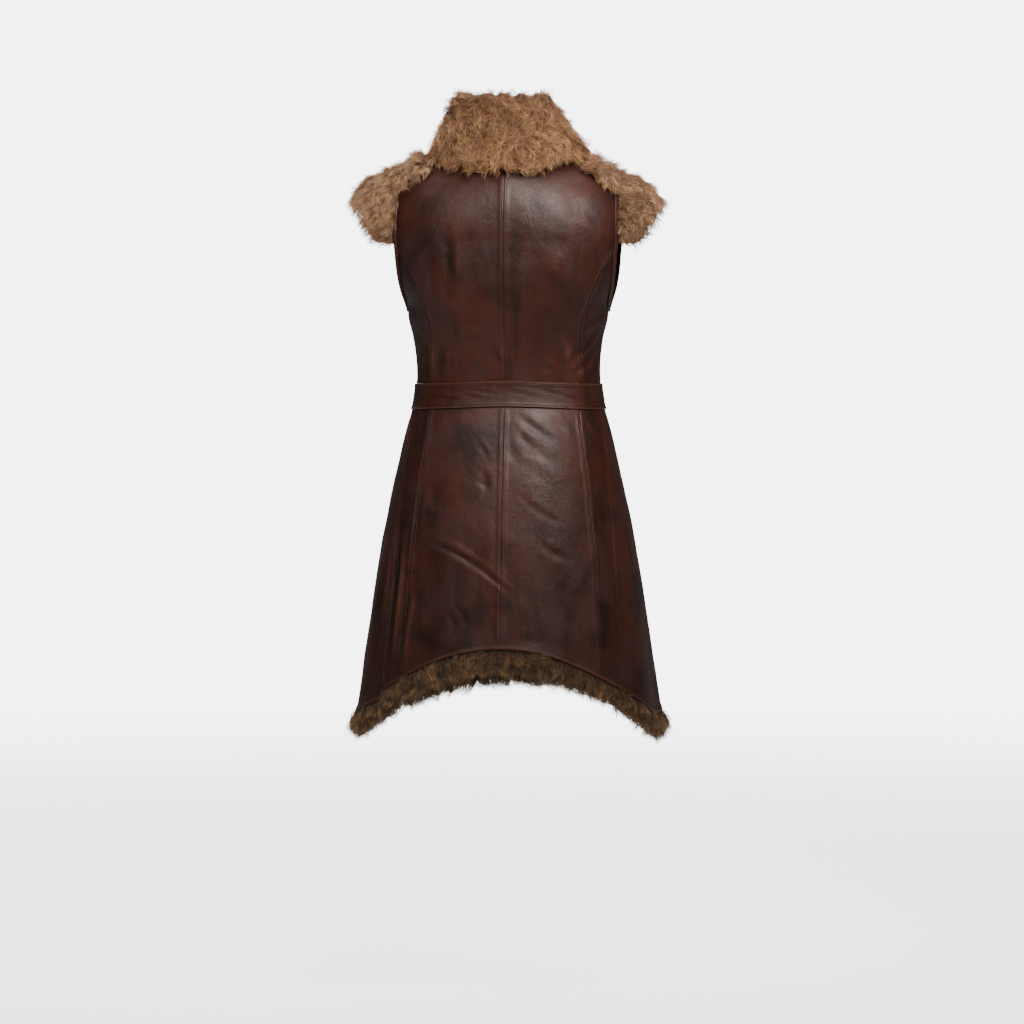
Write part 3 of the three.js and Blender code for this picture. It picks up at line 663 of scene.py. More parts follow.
def addNode(tree, kind, inputs=None, **settings):
    node = tree.nodes.new(kind)
    for key, value in settings.items():
        setattr(node, key, value)
    return fill(tree, node, inputs or {})


def mixColour(tree, share, first, second, blend="MIX"):
    return addNode(tree, "ShaderNodeMix", data_type="RGBA", blend_type=blend, inputs={
        0: share, 6: first, 7: second,
    }).outputs[2]


def sums(tree, operation, first, second=0.0):
    return addNode(tree, "ShaderNodeMath", {0: first, 1: second}, operation=operation).outputs[0]


def ramp(tree, factor, low, high, first=0.0, second=1.0):
    return addNode(tree, "ShaderNodeMapRange", {
        "Value": factor, "From Min": low, "From Max": high, "To Min": first, "To Max": second,
    }, interpolation_type="SMOOTHSTEP", clamp=True).outputs["Result"]


def objectPlace(tree):
    return addNode(tree, "ShaderNodeTexCoord").outputs["Object"]


def stretch(tree, place, upwards):
    return addNode(tree, "ShaderNodeMapping", {"Vector": place, "Scale": (1, 1, upwards)}).outputs[0]


def attribute(tree, name):
    return addNode(tree, "ShaderNodeAttribute", attribute_name=name).outputs["Fac"]


def noise(tree, place, scale, detail=2, roughness=0.5, distortion=0):
    return addNode(tree, "ShaderNodeTexNoise", {
        "Vector": place, "Scale": scale, "Detail": detail, "Roughness": roughness, "Distortion": distortion,
    }).outputs["Fac"]


# Bumps one over the other: height, strength and how far the height stands out, in metres.
def bumps(tree, layers):
    under = {}
    for height, strength, distance in layers:
        bump = addNode(tree, "ShaderNodeBump", {
            "Height": height, "Strength": strength, "Distance": distance, **under,
        })
        under = {"Normal": bump.outputs[0]}
    return bump.outputs[0]


def colour(*channels):
    linear = [((c / 255 + 0.055) / 1.055) ** 2.4 if c > 10 else c / 255 / 12.92 for c in channels]
    return (*linear, 1)


# Tones: pattern, where in it the tone starts and is full, how much of it shows, and its colour.
# Bumps: pattern, strength and height in metres.
leatherLook = {
    "base": colour(46, 23, 17),
    "dark": colour(22, 11, 8),
    "red": colour(59, 29, 21),
    "plum": colour(50, 29, 29),
    # the colour of the painted shade in creases, grooves and stitch lines, then that of rubbed wear with a
    # painted highlight on ridges
    "paintedShade": colour(16, 8, 6),
    "worn": colour(100, 60, 44),
    "tones": [
        ("patches", 0.38, 0.66, 1, "red"),
        ("mottle", 0.44, 0.7, 0.7, "plum"),
        ("stains", 0.48, 0.74, 0.75, "dark"),
        ("streaks", 0.5, 0.72, 0.55, "dark"),
        # painted shade where the attribute is low, rubbed wear with a painted highlight where it is high
        ("shade", 0, -1.1, 0.85, "paintedShade"),
        ("shade", 0.1, 1.1, 0.6, "worn"),
    ],
    "bumps": [("grain", 0.25, 0.0004), ("fold", 0.45, 0.002), ("wrinkle", 0.16, 0.001)],
    "roughness": 0.42,
    "specular": 0.25,
    "pore": 0.25,  # how far a cell of the grain rises from its edge
    "wrinkleWide": 0.05,
}


def leatherPatterns(tree):
    place = objectPlace(tree)
    long, upright = stretch(tree, place, 0.55), stretch(tree, place, 0.13)
    patches = noise(tree, long, 7, 4, 0.55)
    cells = addNode(tree, "ShaderNodeTexVoronoi", {"Vector": place, "Scale": 900}, feature="DISTANCE_TO_EDGE")
    grain = sums(tree, "MINIMUM", cells.outputs["Distance"], leatherLook["pore"])
    line = sums(tree, "ABSOLUTE", sums(tree, "SUBTRACT", noise(tree, long, 34, 4, 0.5, 0.7), 0.5))
    beside, calm = ramp(tree, line, 0, leatherLook["wrinkleWide"]), ramp(tree, patches, 0.4, 0.6)
    return {
        "patches": patches,
        "mottle": noise(tree, long, 24, 5, 0.6),
        "stains": noise(tree, place, 13, 3, 0.5, 0.6),
        "streaks": noise(tree, upright, 30, 4, 0.55),
        # painted shade in creases and grooves, and wear with a painted highlight on ridges
        "shade": attribute(tree, "worn"),
        "grain": sums(tree, "ADD", grain, noise(tree, place, 420, 3)),
        "fold": noise(tree, place, 60, 5, 0.6),
        "wrinkle": sums(tree, "MAXIMUM", beside, calm),
    }


def makeLeather(name, tint=1.0):
    material, tree, surface = newMaterial(name)
    look, patterns = leatherLook, leatherPatterns(tree)
    body = look["base"]
    for pattern, start, full, most, tone in look["tones"]:
        body = mixColour(tree, ramp(tree, patterns[pattern], start, full, 0, most), body, look[tone])
    # Multiplies the colour down: for the side panels this is painted shade, while the trim is simply darker.
    if tint != 1:
        body = mixColour(tree, 1.0, body, (tint, tint, tint, 1), "MULTIPLY")
    smooth, dull = look["roughness"] - 0.06, look["roughness"] + 0.14
    fill(tree, surface, {
        "Base Color": body,
        "Roughness": ramp(tree, patterns["mottle"], 0.3, 0.75, smooth, dull),
        "Specular IOR Level": look["specular"],
        "Normal": bumps(tree, [(patterns[pattern], *sizes) for pattern, *sizes in look["bumps"]]),
    })
    return material


threadLook = {"from": colour(44, 25, 18), "to": colour(92, 57, 40), "roughness": 0.6}


def makeThread():
    material, tree, surface = newMaterial("waxed_thread")
    share = noise(tree, objectPlace(tree), 300)
    body = mixColour(tree, share, threadLook["from"], threadLook["to"])
    fill(tree, surface, {"Base Color": body, "Roughness": threadLook["roughness"]})
    return material


# Dark roots: partly the fur's own colour, partly painted shade deep in the pile and in the gaps between
# tufts.
furLook = {
    "collar": {"root": colour(54, 35, 22), "middle": colour(156, 112, 70), "tip": colour(228, 190, 140)},
    "shoulder": {"root": colour(50, 35, 25), "middle": colour(158, 118, 82), "tip": colour(232, 198, 156)},
    "hem": {"root": colour(18, 12, 7), "middle": colour(104, 76, 46), "tip": colour(198, 158, 110)},
}
furFinish = {"Roughness": 0.62, "Specular IOR Level": 0.3, "Sheen Weight": 0.12, "Sheen Roughness": 0.5}


# Root to tip along each hair, the dark root partly the fur's own colour and partly painted shade deep in the
# pile, then darker patches, tufts, upper edge and single locks.
def makeFur(name, look):
    material, tree, surface = newMaterial(name)
    place, along = objectPlace(tree), attribute(tree, "along")
    height = addNode(tree, "ShaderNodeSeparateXYZ", {0: place}).outputs["Z"]
    between = mixColour(tree, 0.5, look["middle"], look["root"])
    body = look["root"]
    for pattern, start, full, most, tone in (
        (along, 0, 0.5, 1, look["middle"]),
        (along, 0.45, 1, 1, look["tip"]),
        (noise(tree, place, 20, 2, 0.5, 0.5), 0.42, 0.68, 0.5, look["root"]),
        (noise(tree, place, 62, 1), 0.45, 0.65, 0.35, look["root"]),
        (height, 0.03, 0.12, 0.3, look["root"]),
        (attribute(tree, "tone"), 0.3, 1, 0.6, between),
    ):
        body = mixColour(tree, ramp(tree, pattern, start, full, 0, most), body, tone)
    fill(tree, surface, {"Base Color": body, **furFinish})
    return material


peltLook = {"scale": 90, "detail": 4, "pale": 0.4, "roughness": 0.9, "strength": 0.6, "height": 0.002}


def makePelt(name, look):
    material, tree, surface = newMaterial(name)
    share = noise(tree, objectPlace(tree), peltLook["scale"], peltLook["detail"])
    # The pelt shows between the locks in the root colours, so it too is partly painted shade.
    pale = mixColour(tree, peltLook["pale"], look["root"], look["middle"])
    fill(tree, surface, {
        "Base Color": mixColour(tree, share, look["root"], pale),
        "Roughness": peltLook["roughness"],
        "Normal": bumps(tree, [(share, peltLook["strength"], peltLook["height"])]),
    })
    return material


leather = makeLeather("brown_leather")
# Painted shade: the side panels get a darker copy of the leather, standing for the shade at the body's sides.
sideLeatherPaintedShade = makeLeather("side_leather", 0.74)
trimLeather = makeLeather("trim_leather", 0.86)
thread = makeThread()
furs = {key: makeFur("fur_" + key, look) for key, look in furLook.items()}
pelts = {key: makePelt("pelt_" + key, look) for key, look in furLook.items()}


def armholeCurve(sign):
    levels = np.linspace(coat["underarm"], -0.2, 90)
    return np.vstack([coatPoint(armholeAngle(levels, back) * sign, levels) for back in (1, -1)])


armholes = np.vstack([armholeCurve(1), armholeCurve(-1)])


def distanceTo(points, curve):
    nearest = np.full(len(points), 1e9)
    for k in range(0, len(points), 4000):
        block = points[k:k + 4000, None] - curve[None]
        nearest[k:k + 4000] = np.sqrt((block**2).sum(2).min(1))
    return nearest


bandAt = {"top": -400, "bottom": -448, "sag": 6, "lift": 0.8, "thick": 1.9, "stitchAt": 4.0}
flatUnder = {"band": 2, "bandFade": 9, "hem": 9, "hemFade": 8, "facing": 11, "facingFade": 5}
nearArmhole = {"below": 20, "fromCentre": 120}
shoulderCalm = {"least": 0.35, "from": -20, "over": 60}


def bandSag(angle):
    return bandAt["sag"] * np.sin(angle) ** 2


# Nothing stands out under the waistband, the armhole's facing and the hem's binding.
def flattening(points, angle, level):
    sag, near = bandSag(angle), flatUnder
    above = ease((level + sag - bandAt["top"] - near["band"]) / near["bandFade"])
    below = ease((bandAt["bottom"] - sag - near["band"] - level) / near["bandFade"])
    hem = ease((level - hemHeight(angle) + hemDrop(angle) - near["hem"]) / near["hemFade"])
    facing = np.ones(len(points))
    high = level > coat["underarm"] - nearArmhole["below"]
    high = np.nonzero(high & (np.abs(points[:, 0]) > nearArmhole["fromCentre"]))[0]
    facing[high] = ease((distanceTo(points[high], armholes) - near["facing"]) / near["facingFade"])
    return np.maximum(above, below) * np.where(level < coat["skirtStart"], hem, 1) * facing


# Creases and waves, calmer towards the shoulder seam.
def softRelief(points, normals, angle, level):
    flat = flattening(points, angle, level)
    creased, worn = creaseRelief(points, normals)
    calm = mix(shoulderCalm["least"], 1, ease((shoulderCalm["from"] - level) / shoulderCalm["over"]))
    return (creased + unevenness(points)) * flat * calm, worn, flat


# Seams are the heights of the allowances along a panel's first and last column.
def makePanel(name, grid, material, seams):
    angle, level, toFirst, toLast = grid
    shape = angle.shape
    points, normals = coatPoint(angle, level).reshape(-1, 3), coatNormal(angle, level).reshape(-1, 3)
    angle, level = angle.ravel(), level.ravel()
    soft, worn, flat = softRelief(points, normals, angle, level)
    sewn = np.zeros(len(points))
    for distance, allowance in ((toFirst.ravel(), seams[0]), (toLast.ravel(), seams[1])):
        sewn += seamRelief(distance, allowance) * mix(seam["underTrim"], 1, flat)
        # Painted shade in the seam's groove, and rubbed wear with a painted highlight along the turned edge
        # beside it.
        worn = worn - seam["dark"] * bell(distance, seam["darkWide"]) * flat
        worn = worn + seam["worn"] * bell(distance - seam["wearAndHighlightAt"], seam["wearAndHighlightWide"]) * flat
    outer = points + normals * (soft + sewn)[:, None]
    inner = points + normals * (soft - coat["hide"])[:, None]
    outer, inner = outer.reshape(*shape, 3), inner.reshape(*shape, 3)
    piece = makeWall(name + "_hide", outer, inner, material, {"worn": worn})
    return declareCloth(piece, name, outer)


bodiceTop = coat["princessTop"]
bodiceLevels = np.arange(coat["waistSeam"] + coat["seamGap"] / 2, bodiceTop, coat["cell"])
bodiceLevels = np.append(bodiceLevels, bodiceTop)
panelColumns = {"back": 32, "side": 12, "front": 48, "steps": 36, "backCorner": 22, "frontCorner": 28}
seamHeights = {"centreBack": 1.1, "princess": 0.95, "side": 0.7, "centreFront": 0.9}

sides = (("left", 1), ("right", -1))
for side, sign in sides:
    count, heights = panelColumns, seamHeights
    lower = gridFrom(levelRows(bodiceLevels, edges["centreBack"], edges["princessIn"], sign), count["back"])
    turnRow = levelRows([bodiceTop + 0.3], edges["centreBack"], edges["backArm"], sign)
    turnGrid = gridFrom(turnRow, count["back"])
    upper = overShoulder(turnGrid, 1, sign, count["steps"], count["backCorner"])
    grid = [np.vstack([a, b]) for a, b in zip(lower, upper)]
    seams = (heights["centreBack"], heights["princess"])
    makePanel(f"back_{side}", grid, leather, seams)

    grid = gridFrom(levelRows(bodiceLevels, edges["princessOut"], edges["backArm"], sign), count["side"])
    seams = (heights["princess"], heights["side"])
    makePanel(f"side_back_{side}", grid, sideLeatherPaintedShade, seams)

    lower = gridFrom(levelRows(bodiceLevels, edges["frontArm"], edges["centreFront"], sign), count["front"])
    grid = overShoulder(lower, -1, sign, count["steps"], count["frontCorner"])
    seams = (heights["side"], heights["centreFront"])
    makePanel(f"front_{side}", grid, leather, seams)

    for part, first, last, material, slot, kinds in (
        ("back", "centreBack", "princessIn", leather, "back_leather", ("centreBack", "princess")),
        ("side", "princessOut", "sideIn", sideLeatherPaintedShade, "side_leather", ("princess", "side")),
        ("front", "sideOut", "centreFront", leather, "back_leather", ("side", "centreFront")),
    ):
        grid = gridFrom(skirtRows(edges[first], edges[last], sign), count[part])
        seams = [heights[kind] for kind in kinds]
        makePanel(f"skirt_{part}_{side}", grid, material, seams)
print("leather panels made:", len(cuts))


# How far apart two points a radian from each other lie on the coat.
def perRadian(angle, level):
    step = 0.01
    ends = coatPoint(angle + step, level) - coatPoint(angle - step, level)
    return np.linalg.norm(ends, axis=-1) / (2 * step)


fold = {
    "base": 0.15, "round": 1.4, "ridge": 0.7, "ridgeEnd": 4.5, "ridgeFade": 4,
    "sunk": 0.55, "sunkWide": 0.8,
}


# A strip of folded hide: edges rounded, a sunk line of stitches near each.
def foldedProfile(distance, wide, strip):
    fromEdge = np.minimum(distance, wide - distance)
    rounded = np.sqrt(1 - (1 - np.clip(fromEdge / fold["round"], 0, 1)) ** 2)
    ridge = fold["ridge"] * (1 - ease((fromEdge - fold["ridgeEnd"]) / fold["ridgeFade"]))
    sunk = fold["sunk"] * bell(fromEdge - strip["stitchAt"], fold["sunkWide"])
    return strip["lift"] + fold["base"] + strip["thick"] * rounded + ridge * rounded - sunk


bandStops = np.array([0, 0.3, 0.8, 1.5, 2.4, 3.3, 4.0, 4.7, 6.2, 8, 10.5, 13.5, 17, 21])
bandCrinkles = [  # angle, height above the lower edge, length, width, depth
    (24, 30, 26, 3.2, 0.7), (33, 22, 20, 2.6, 0.8), (42, 32, 16, 2.6, 0.6), (50, 20, 18, 3.0, 0.9),
    (-18, 26, 22, 3.4, 0.4), (-46, 30, 20, 3.0, 0.6), (-58, 22, 16, 3.0, 0.7), (64, 28, 18, 2.8, 0.7),
    (112, 26, 22, 3.0, 0.7), (-108, 28, 24, 3.0, 0.6), (140, 24, 20, 3.2, 0.5), (-144, 22, 22, 3.2, 0.5),
]


# Rubbed wear with a painted highlight near the band's edges, painted shade in its stitch lines, and how
# uneven its middle is.
bandWearPaintedLightAndRelief = {"worn": 0.9, "wearAndHighlightAt": 1.6, "wearAndHighlightWide": 1.2, "dark": 1.0, "darkWide": 0.8, "uneven": 0.5}
# How much painted highlight a crinkle's ridge gets and how much painted shade its pressed hollow.
crinkleForm = {"slant": 0.375, "ridgeAt": 1.6, "ridge": 0.7, "worn": 0.7, "dark": 1.2}


def makeBand(name, angles):
    tall = bandAt["top"] - bandAt["bottom"]
    heights = np.concatenate([bandStops, [tall / 2], tall - bandStops[::-1]])
    angle, up = np.meshgrid(angles, heights)
    level = bandAt["bottom"] + up - bandSag(angle)
    points, normals = coatPoint(angle, level), coatNormal(angle, level)
    lift = foldedProfile(up, tall, bandAt)
    fromEdge = np.minimum(up, tall - up)
    # Rubbed wear and a painted highlight along the rounded edges, and painted shade in the sunk stitch lines.
    worn = bandWearPaintedLightAndRelief["worn"] * bell(fromEdge - bandWearPaintedLightAndRelief["wearAndHighlightAt"], bandWearPaintedLightAndRelief["wearAndHighlightWide"])
    worn -= bandWearPaintedLightAndRelief["dark"] * bell(fromEdge - bandAt["stitchAt"], bandWearPaintedLightAndRelief["darkWide"])
    radius = reachAt(angle, level)
    for centre, at, long, wide, depth in bandCrinkles:
        past = angle / degree - centre
        offAround = past * degree * radius / long
        offUp = (up - at - crinkleForm["slant"] * past) / wide
        press = np.exp(-(offAround**2) - offUp**2)
        ridge = np.exp(-(offAround**2) - (offUp - crinkleForm["ridgeAt"]) ** 2)
        lift += depth * (crinkleForm["ridge"] * ridge - press)
        # painted highlight on each crinkle's ridge and painted shade in its pressed hollow
        worn += crinkleForm["worn"] * depth * (ridge - crinkleForm["dark"] * press)
    inside = np.clip(fromEdge / bandAt["stitchAt"], 0, 1)
    lift += inside * bandWearPaintedLightAndRelief["uneven"] * unevenness(points.reshape(-1, 3)).reshape(up.shape)
    outer = points + normals * lift[..., None]
    inner = points + normals * bandAt["lift"]
    piece = makeWall(name + "_hide", outer, inner, trimLeather, {"worn": worn})
    return declareCloth(piece, name, outer)


waistSeam = np.float64(coat["waistSeam"])
bandSide = edges["sideIn"](waistSeam)
makeBand("waistband_back", np.linspace(-bandSide, bandSide, 120))
frontGap = coat["seamGap"] / 2 / sectionAt(waistSeam)[2]
for side, sign in sides:
    frontAngles = np.linspace(edges["sideOut"](waistSeam), math.pi - frontGap, 80) * sign
    makeBand(f"waistband_front_{side}", frontAngles)

facing = {
    "lift": 0.85, "thick": 1.5, "steps": 130, "stitchAt": 3.9,
    # the rest: rubbed wear with a painted highlight near the edges, and painted shade in a sunk stitch line
    "worn": 0.7, "wearAndHighlightAt": 1.2, "wearAndHighlightWide": 0.9, "dark": 0.7, "darkWide": 0.8,
}
facingStops = np.array([0.3, 0.6, 1.2, 2.0, 3.2, 4.2, 5.2, 7.0, 9.0, 9.8, 10.4, 10.8, 11.0])


def facingPlaces(sign, widths):
    turn = np.linspace(0, 2 * math.pi, facing["steps"], endpoint=False)[:, None]
    back = np.where(np.cos(turn) >= 0, 1, -1)
    upper, steep = np.sin(turn) >= 0, np.abs(np.sin(turn))
    climb = np.arcsin(np.minimum(1, steep)) / (math.pi / 2)
    level = np.where(upper, coat["roll"] * (1 - climb), mix(coat["roll"], coat["underarm"], steep))
    angle = np.where(back > 0, armholeAngle(level, 1), armholeAngle(level, -1))
    away = widths * np.where(upper, 1, np.abs(np.cos(turn))) / perRadian(angle, level)
    fall = np.where(upper, 0, widths * steep)
    return (angle - back * away) * sign, level - fall


facingWide = facingStops[-1] - facingStops[0]
for side, sign in sides:
    angle, level = facingPlaces(sign, facingStops[None])
    points, normals = coatPoint(angle, level), coatNormal(angle, level)
    across = np.broadcast_to(facingStops - facingStops[0], angle.shape)
    lift = foldedProfile(across, facingWide, facing)
    fromEdge = np.minimum(across, facingWide - across)
    # Rubbed wear with a painted highlight along the rounded edges, and painted shade in the sunk stitch line.
    worn = facing["worn"] * bell(fromEdge - facing["wearAndHighlightAt"], facing["wearAndHighlightWide"])
    worn = worn - facing["dark"] * bell(across - facing["stitchAt"], facing["darkWide"])
    outer, inner = points + normals * lift[..., None], points + normals * facing["lift"]
    piece = makeWall(f"armhole_facing_{side}_hide", outer, inner, trimLeather, {"worn": worn}, ring=True)
    declareCloth(piece, f"armhole_facing_{side}", outer)


# A solid swept through outlines of the same number of points; its ends fan from a corner.
def sweepFaces(count, wide, corner):
    grid = np.arange(count * wide).reshape(count, wide)
    grid = np.hstack([grid, grid[:, :1]])
    quads = cornersOf(grid[:-1, :-1], grid[:-1, 1:], grid[1:, 1:], grid[1:, :-1])
    ring = [(corner + k) % wide for k in range(wide)]
    start = [(ring[0], ring[k + 1], ring[k]) for k in range(1, wide - 1)]
    end = [(ring[0], ring[k], ring[k + 1]) for k in range(1, wide - 1)]
    base = (count - 1) * wide
    return quads, np.array(start), np.array(end) + base


def hemSpan(first, last, sign, count):
    ends = [edge(meeting(edge, hemHeight)) * sign for edge in (first, last)]
    angles = mix(ends[0], ends[1], np.linspace(0, 1, 300))
    run = runAlong(coatPoint(angles, skirtLevel(angles, 1)))
    return np.interp(np.linspace(0, run[-1], count), run, angles)


def hemFrame(angles):
    level = skirtLevel(angles, 1)
    edge, normal = coatPoint(angles, level), coatNormal(angles, level)
    return edge, normal, unit(edge - coatPoint(angles, level + 1))


def hemPlace(frameAt, out, down):
    edge, normal, below = frameAt
    return edge[:, None] + normal[:, None] * out[..., None] + below[:, None] * down[..., None]


# Out from the hide and down from its edge; the first nine points are the side that shows.
bindingOutline = np.array([
    (0.3, -8.0), (1.0, -8.3), (1.7, -7.6), (2.1, -6.4), (1.7, -5.2), (2.2, -4.0), (2.5, -1.8), (2.3, 0.4),
    (1.6, 1.9), (0.4, 2.6), (-0.9, 2.4), (-1.9, 1.4), (-2.1, 0.3), (0.3, 0.3),
])
binding = {
    "seen": 9, "wobbleFrom": 0.5, "stitchOut": 1.85, "stitchDown": -5.2,
    # rubbed wear with a painted highlight on the roll's outermost bulge, and painted shade in its stitch
    # groove
    "worn": 0.6, "wearAndHighlightOut": 2.3, "wearAndHighlightReach": 0.4, "dark": 1.1,
}
hemSpans = {
    "back": hemSpan(lambda z: -edges["sideIn"](z), edges["sideIn"], 1, 220),
    "front_left": hemSpan(edges["sideOut"], edges["centreFront"], 1, 130),
    "front_right": hemSpan(edges["sideOut"], edges["centreFront"], -1, 130),
}
bindingOut, bindingDown = bindingOutline[None, :, 0], bindingOutline[None, :, 1]
# Rubbed wear with a painted highlight on the outermost bulge of the roll, painted shade in its stitch groove.
bindingWearAndPaintedLight = np.where(np.abs(bindingOut[0] - binding["wearAndHighlightOut"]) < binding["wearAndHighlightReach"], binding["worn"], 0)
bindingWearAndPaintedLight = bindingWearAndPaintedLight - np.where(bindingDown[0] == binding["stitchDown"], binding["dark"], 0)
for part, angles in hemSpans.items():
    place = hemFrame(angles)
    wobble = 1 + 0.05 * np.sin(angles * 37) + 0.04 * np.sin(angles * 71 + 1)
    out = bindingOut * np.where(bindingOut > binding["wobbleFrom"], wobble[:, None], 1)
    rings = hemPlace(place, out, np.broadcast_to(bindingDown, out.shape))
    faces = sweepFaces(len(angles), len(bindingOutline), len(bindingOutline) - 1)
    name, worn = f"hem_binding_{part}", {"worn": np.tile(bindingWearAndPaintedLight, len(angles))}
    piece = makeObject(name + "_hide", rings.reshape(-1, 3), faces, trimLeather, worn)
    declareCloth(piece, name, rings[:, :binding["seen"]])
print("trim made:", len(cuts))


stitch = {
    "long": 3.1, "radius": 0.42, "pitch": 4.4, "sides": 3,
    "blunt": 0.62, "inset": 4.0, "above": 0.1, "step": 3.0,
    "aboveBand": 2, "belowBand": 4, "aboveHem": 10,
}


def geometryTree(name, sockets):
    tree = bpy.data.node_groups.new(name, "GeometryNodeTree")
    tree.interface.new_socket("Geometry", in_out="INPUT", socket_type="NodeSocketGeometry")
    for label, kind in sockets:
        tree.interface.new_socket(label, in_out="INPUT", socket_type=kind)
    tree.interface.new_socket("Geometry", in_out="OUTPUT", socket_type="NodeSocketGeometry")
    return tree, tree.nodes.new("NodeGroupInput").outputs, tree.nodes.new("NodeGroupOutput")


def namedField(tree, name, kind):
    return addNode(tree, "GeometryNodeInputNamedAttribute", {"Name": name}, data_type=kind).outputs[0]


def stitchTree():
    tree, given, result = geometryTree("stitch_rows", [
        ("Stitch", "NodeSocketObject"), ("Pitch", "NodeSocketFloat"), ("Material", "NodeSocketMaterial"),
    ])
    curve = addNode(tree, "GeometryNodeMeshToCurve", {"Mesh": given["Geometry"]}).outputs[0]
    evenly = addNode(tree, "GeometryNodeResampleCurve", {
        "Curve": curve, "Length": given["Pitch"],
    }, mode="LENGTH")
    tangent = addNode(tree, "GeometryNodeInputTangent").outputs[0]
    turned = addNode(tree, "FunctionNodeAxesToRotation", {
        0: tangent, 1: namedField(tree, "out", "FLOAT_VECTOR"),
    }, primary_axis="X", secondary_axis="Z")
    shape = addNode(tree, "GeometryNodeObjectInfo", {"Object": given["Stitch"]}).outputs["Geometry"]
    placed = addNode(tree, "GeometryNodeInstanceOnPoints", {
        "Points": evenly.outputs[0], "Instance": shape, "Rotation": turned.outputs[0],
    })
    real = addNode(tree, "GeometryNodeRealizeInstances", {"Geometry": placed.outputs[0]}).outputs[0]
    finished = addNode(tree, "GeometryNodeSetMaterial", {"Geometry": real, "Material": given["Material"]})
    tree.links.new(finished.outputs[0], result.inputs[0])
    return tree


def setInputs(modifier, values):
    for item in modifier.node_group.interface.items_tree:
        if item.item_type == "SOCKET" and item.in_out == "INPUT" and item.name in values:
            modifier[item.identifier] = values[item.name]


# Runs a tree on an object and keeps the result as its plain mesh.
def applyTree(piece, tree, values):
    modifier = piece.modifiers.new("nodes", "NODES")
    modifier.node_group = tree
    setInputs(modifier, values)
    graph = bpy.context.evaluated_depsgraph_get()
    made = piece.evaluated_get(graph)
    mesh = bpy.data.meshes.new_from_object(made, preserve_all_data_layers=True, depsgraph=graph)
    piece.modifiers.clear()
    old = piece.data
    piece.data = mesh
    bpy.data.meshes.remove(old)
    mesh.name = piece.name
    return piece


def makeStitch():
    sides, half = stitch["sides"], stitch["long"] / 2
    points = [(-half, 0, 0)]
    for x in (-half * stitch["blunt"], half * stitch["blunt"]):
        for k in range(sides):
            turn = 2 * math.pi * k / sides
            points.append((x, stitch["radius"] * math.cos(turn), stitch["radius"] * math.sin(turn)))
    points.append((half, 0, 0))
    quads, ends = [], []
    for k in range(sides):
        a, b = 1 + k, 1 + (k + 1) % sides
        quads.append((a, b, b + sides, a + sides))
        ends += [(0, b, a), (a + sides, b + sides, 2 * sides + 1)]
    return makeObject("stitch_shape", np.array(points), (np.array(quads), np.array(ends)), thread)


seamRows = []  # points and the way out of the surface, for each row


def addRow(points, normals, lift):
    seamRows.append((points + normals * (lift + stitch["above"]), normals))


# Edge, the side of it on which its row lies, and the kind of seam.
stitchedEdges = {
    "centreBack": (1, "centreBack"),
    "princessIn": (-1, "princess"),
    "princessOut": (1, "princess"),
    "sideIn": (-1, "side"),
    "sideOut": (1, "side"),
    "centreFront": (-1, "centreFront"),
}
bodiceRowTops = {
    "centreBack": -30, "centreFront": -60, "princessIn": -160, "princessOut": -200,
    "sideIn": coat["underarm"] - 14, "sideOut": coat["underarm"] - 14,
}


def stitchEdge(key, levels, sign):
    way, kind = stitchedEdges[key]
    angle = edges[key](levels)
    angle = (angle + way * stitch["inset"] / perRadian(angle, levels)) * sign
    points, normals = coatPoint(angle, levels), coatNormal(angle, levels)
    soft, _, flat = softRelief(points, normals, angle, levels)
    raised = (seamHeights[kind] - seam["stitchDepth"]) * mix(seam["underTrim"], 1, flat)
    addRow(points, normals, (soft + raised)[:, None])


for _, sign in sides:
    for key, top in bodiceRowTops.items():
        stitchEdge(key, np.arange(bandAt["top"] + stitch["aboveBand"], top, stitch["step"]), sign)
    for key in stitchedEdges:
        top = bandAt["bottom"] - stitch["belowBand"]
        foot = meeting(edges[key], hemHeight) + stitch["aboveHem"]
        stitchEdge(key, np.arange(top, foot, -stitch["step"]), sign)
    for width in (facingStops[0] + facing["stitchAt"], facingStops[-1] - facing["stitchAt"]):
        angle, level = facingPlaces(sign, np.array([[width]]))
        angle, level = np.append(angle, angle[:1]), np.append(level, level[:1])
        lift = foldedProfile(np.float64(facing["stitchAt"]), facingWide, facing)
        addRow(coatPoint(angle, level), coatNormal(angle, level), lift)

around = np.linspace(-math.pi + frontGap * 4, math.pi - frontGap * 4, 700)
bandTall = bandAt["top"] - bandAt["bottom"]
for up in (bandAt["stitchAt"], bandTall - bandAt["stitchAt"]):
    level = bandAt["bottom"] + up - bandSag(around)
    points, normals = coatPoint(around, level), coatNormal(around, level)
    lift = foldedProfile(np.float64(bandAt["stitchAt"]), bandTall, bandAt)
    addRow(points, normals, (lift + bandWearPaintedLightAndRelief["uneven"] * unevenness(points))[:, None])
for angles in hemSpans.values():
    place = hemFrame(angles)
    out, down = (np.full((len(angles), 1), binding[key]) for key in ("stitchOut", "stitchDown"))
    seamRows.append((hemPlace(place, out, down)[:, 0], place[1]))


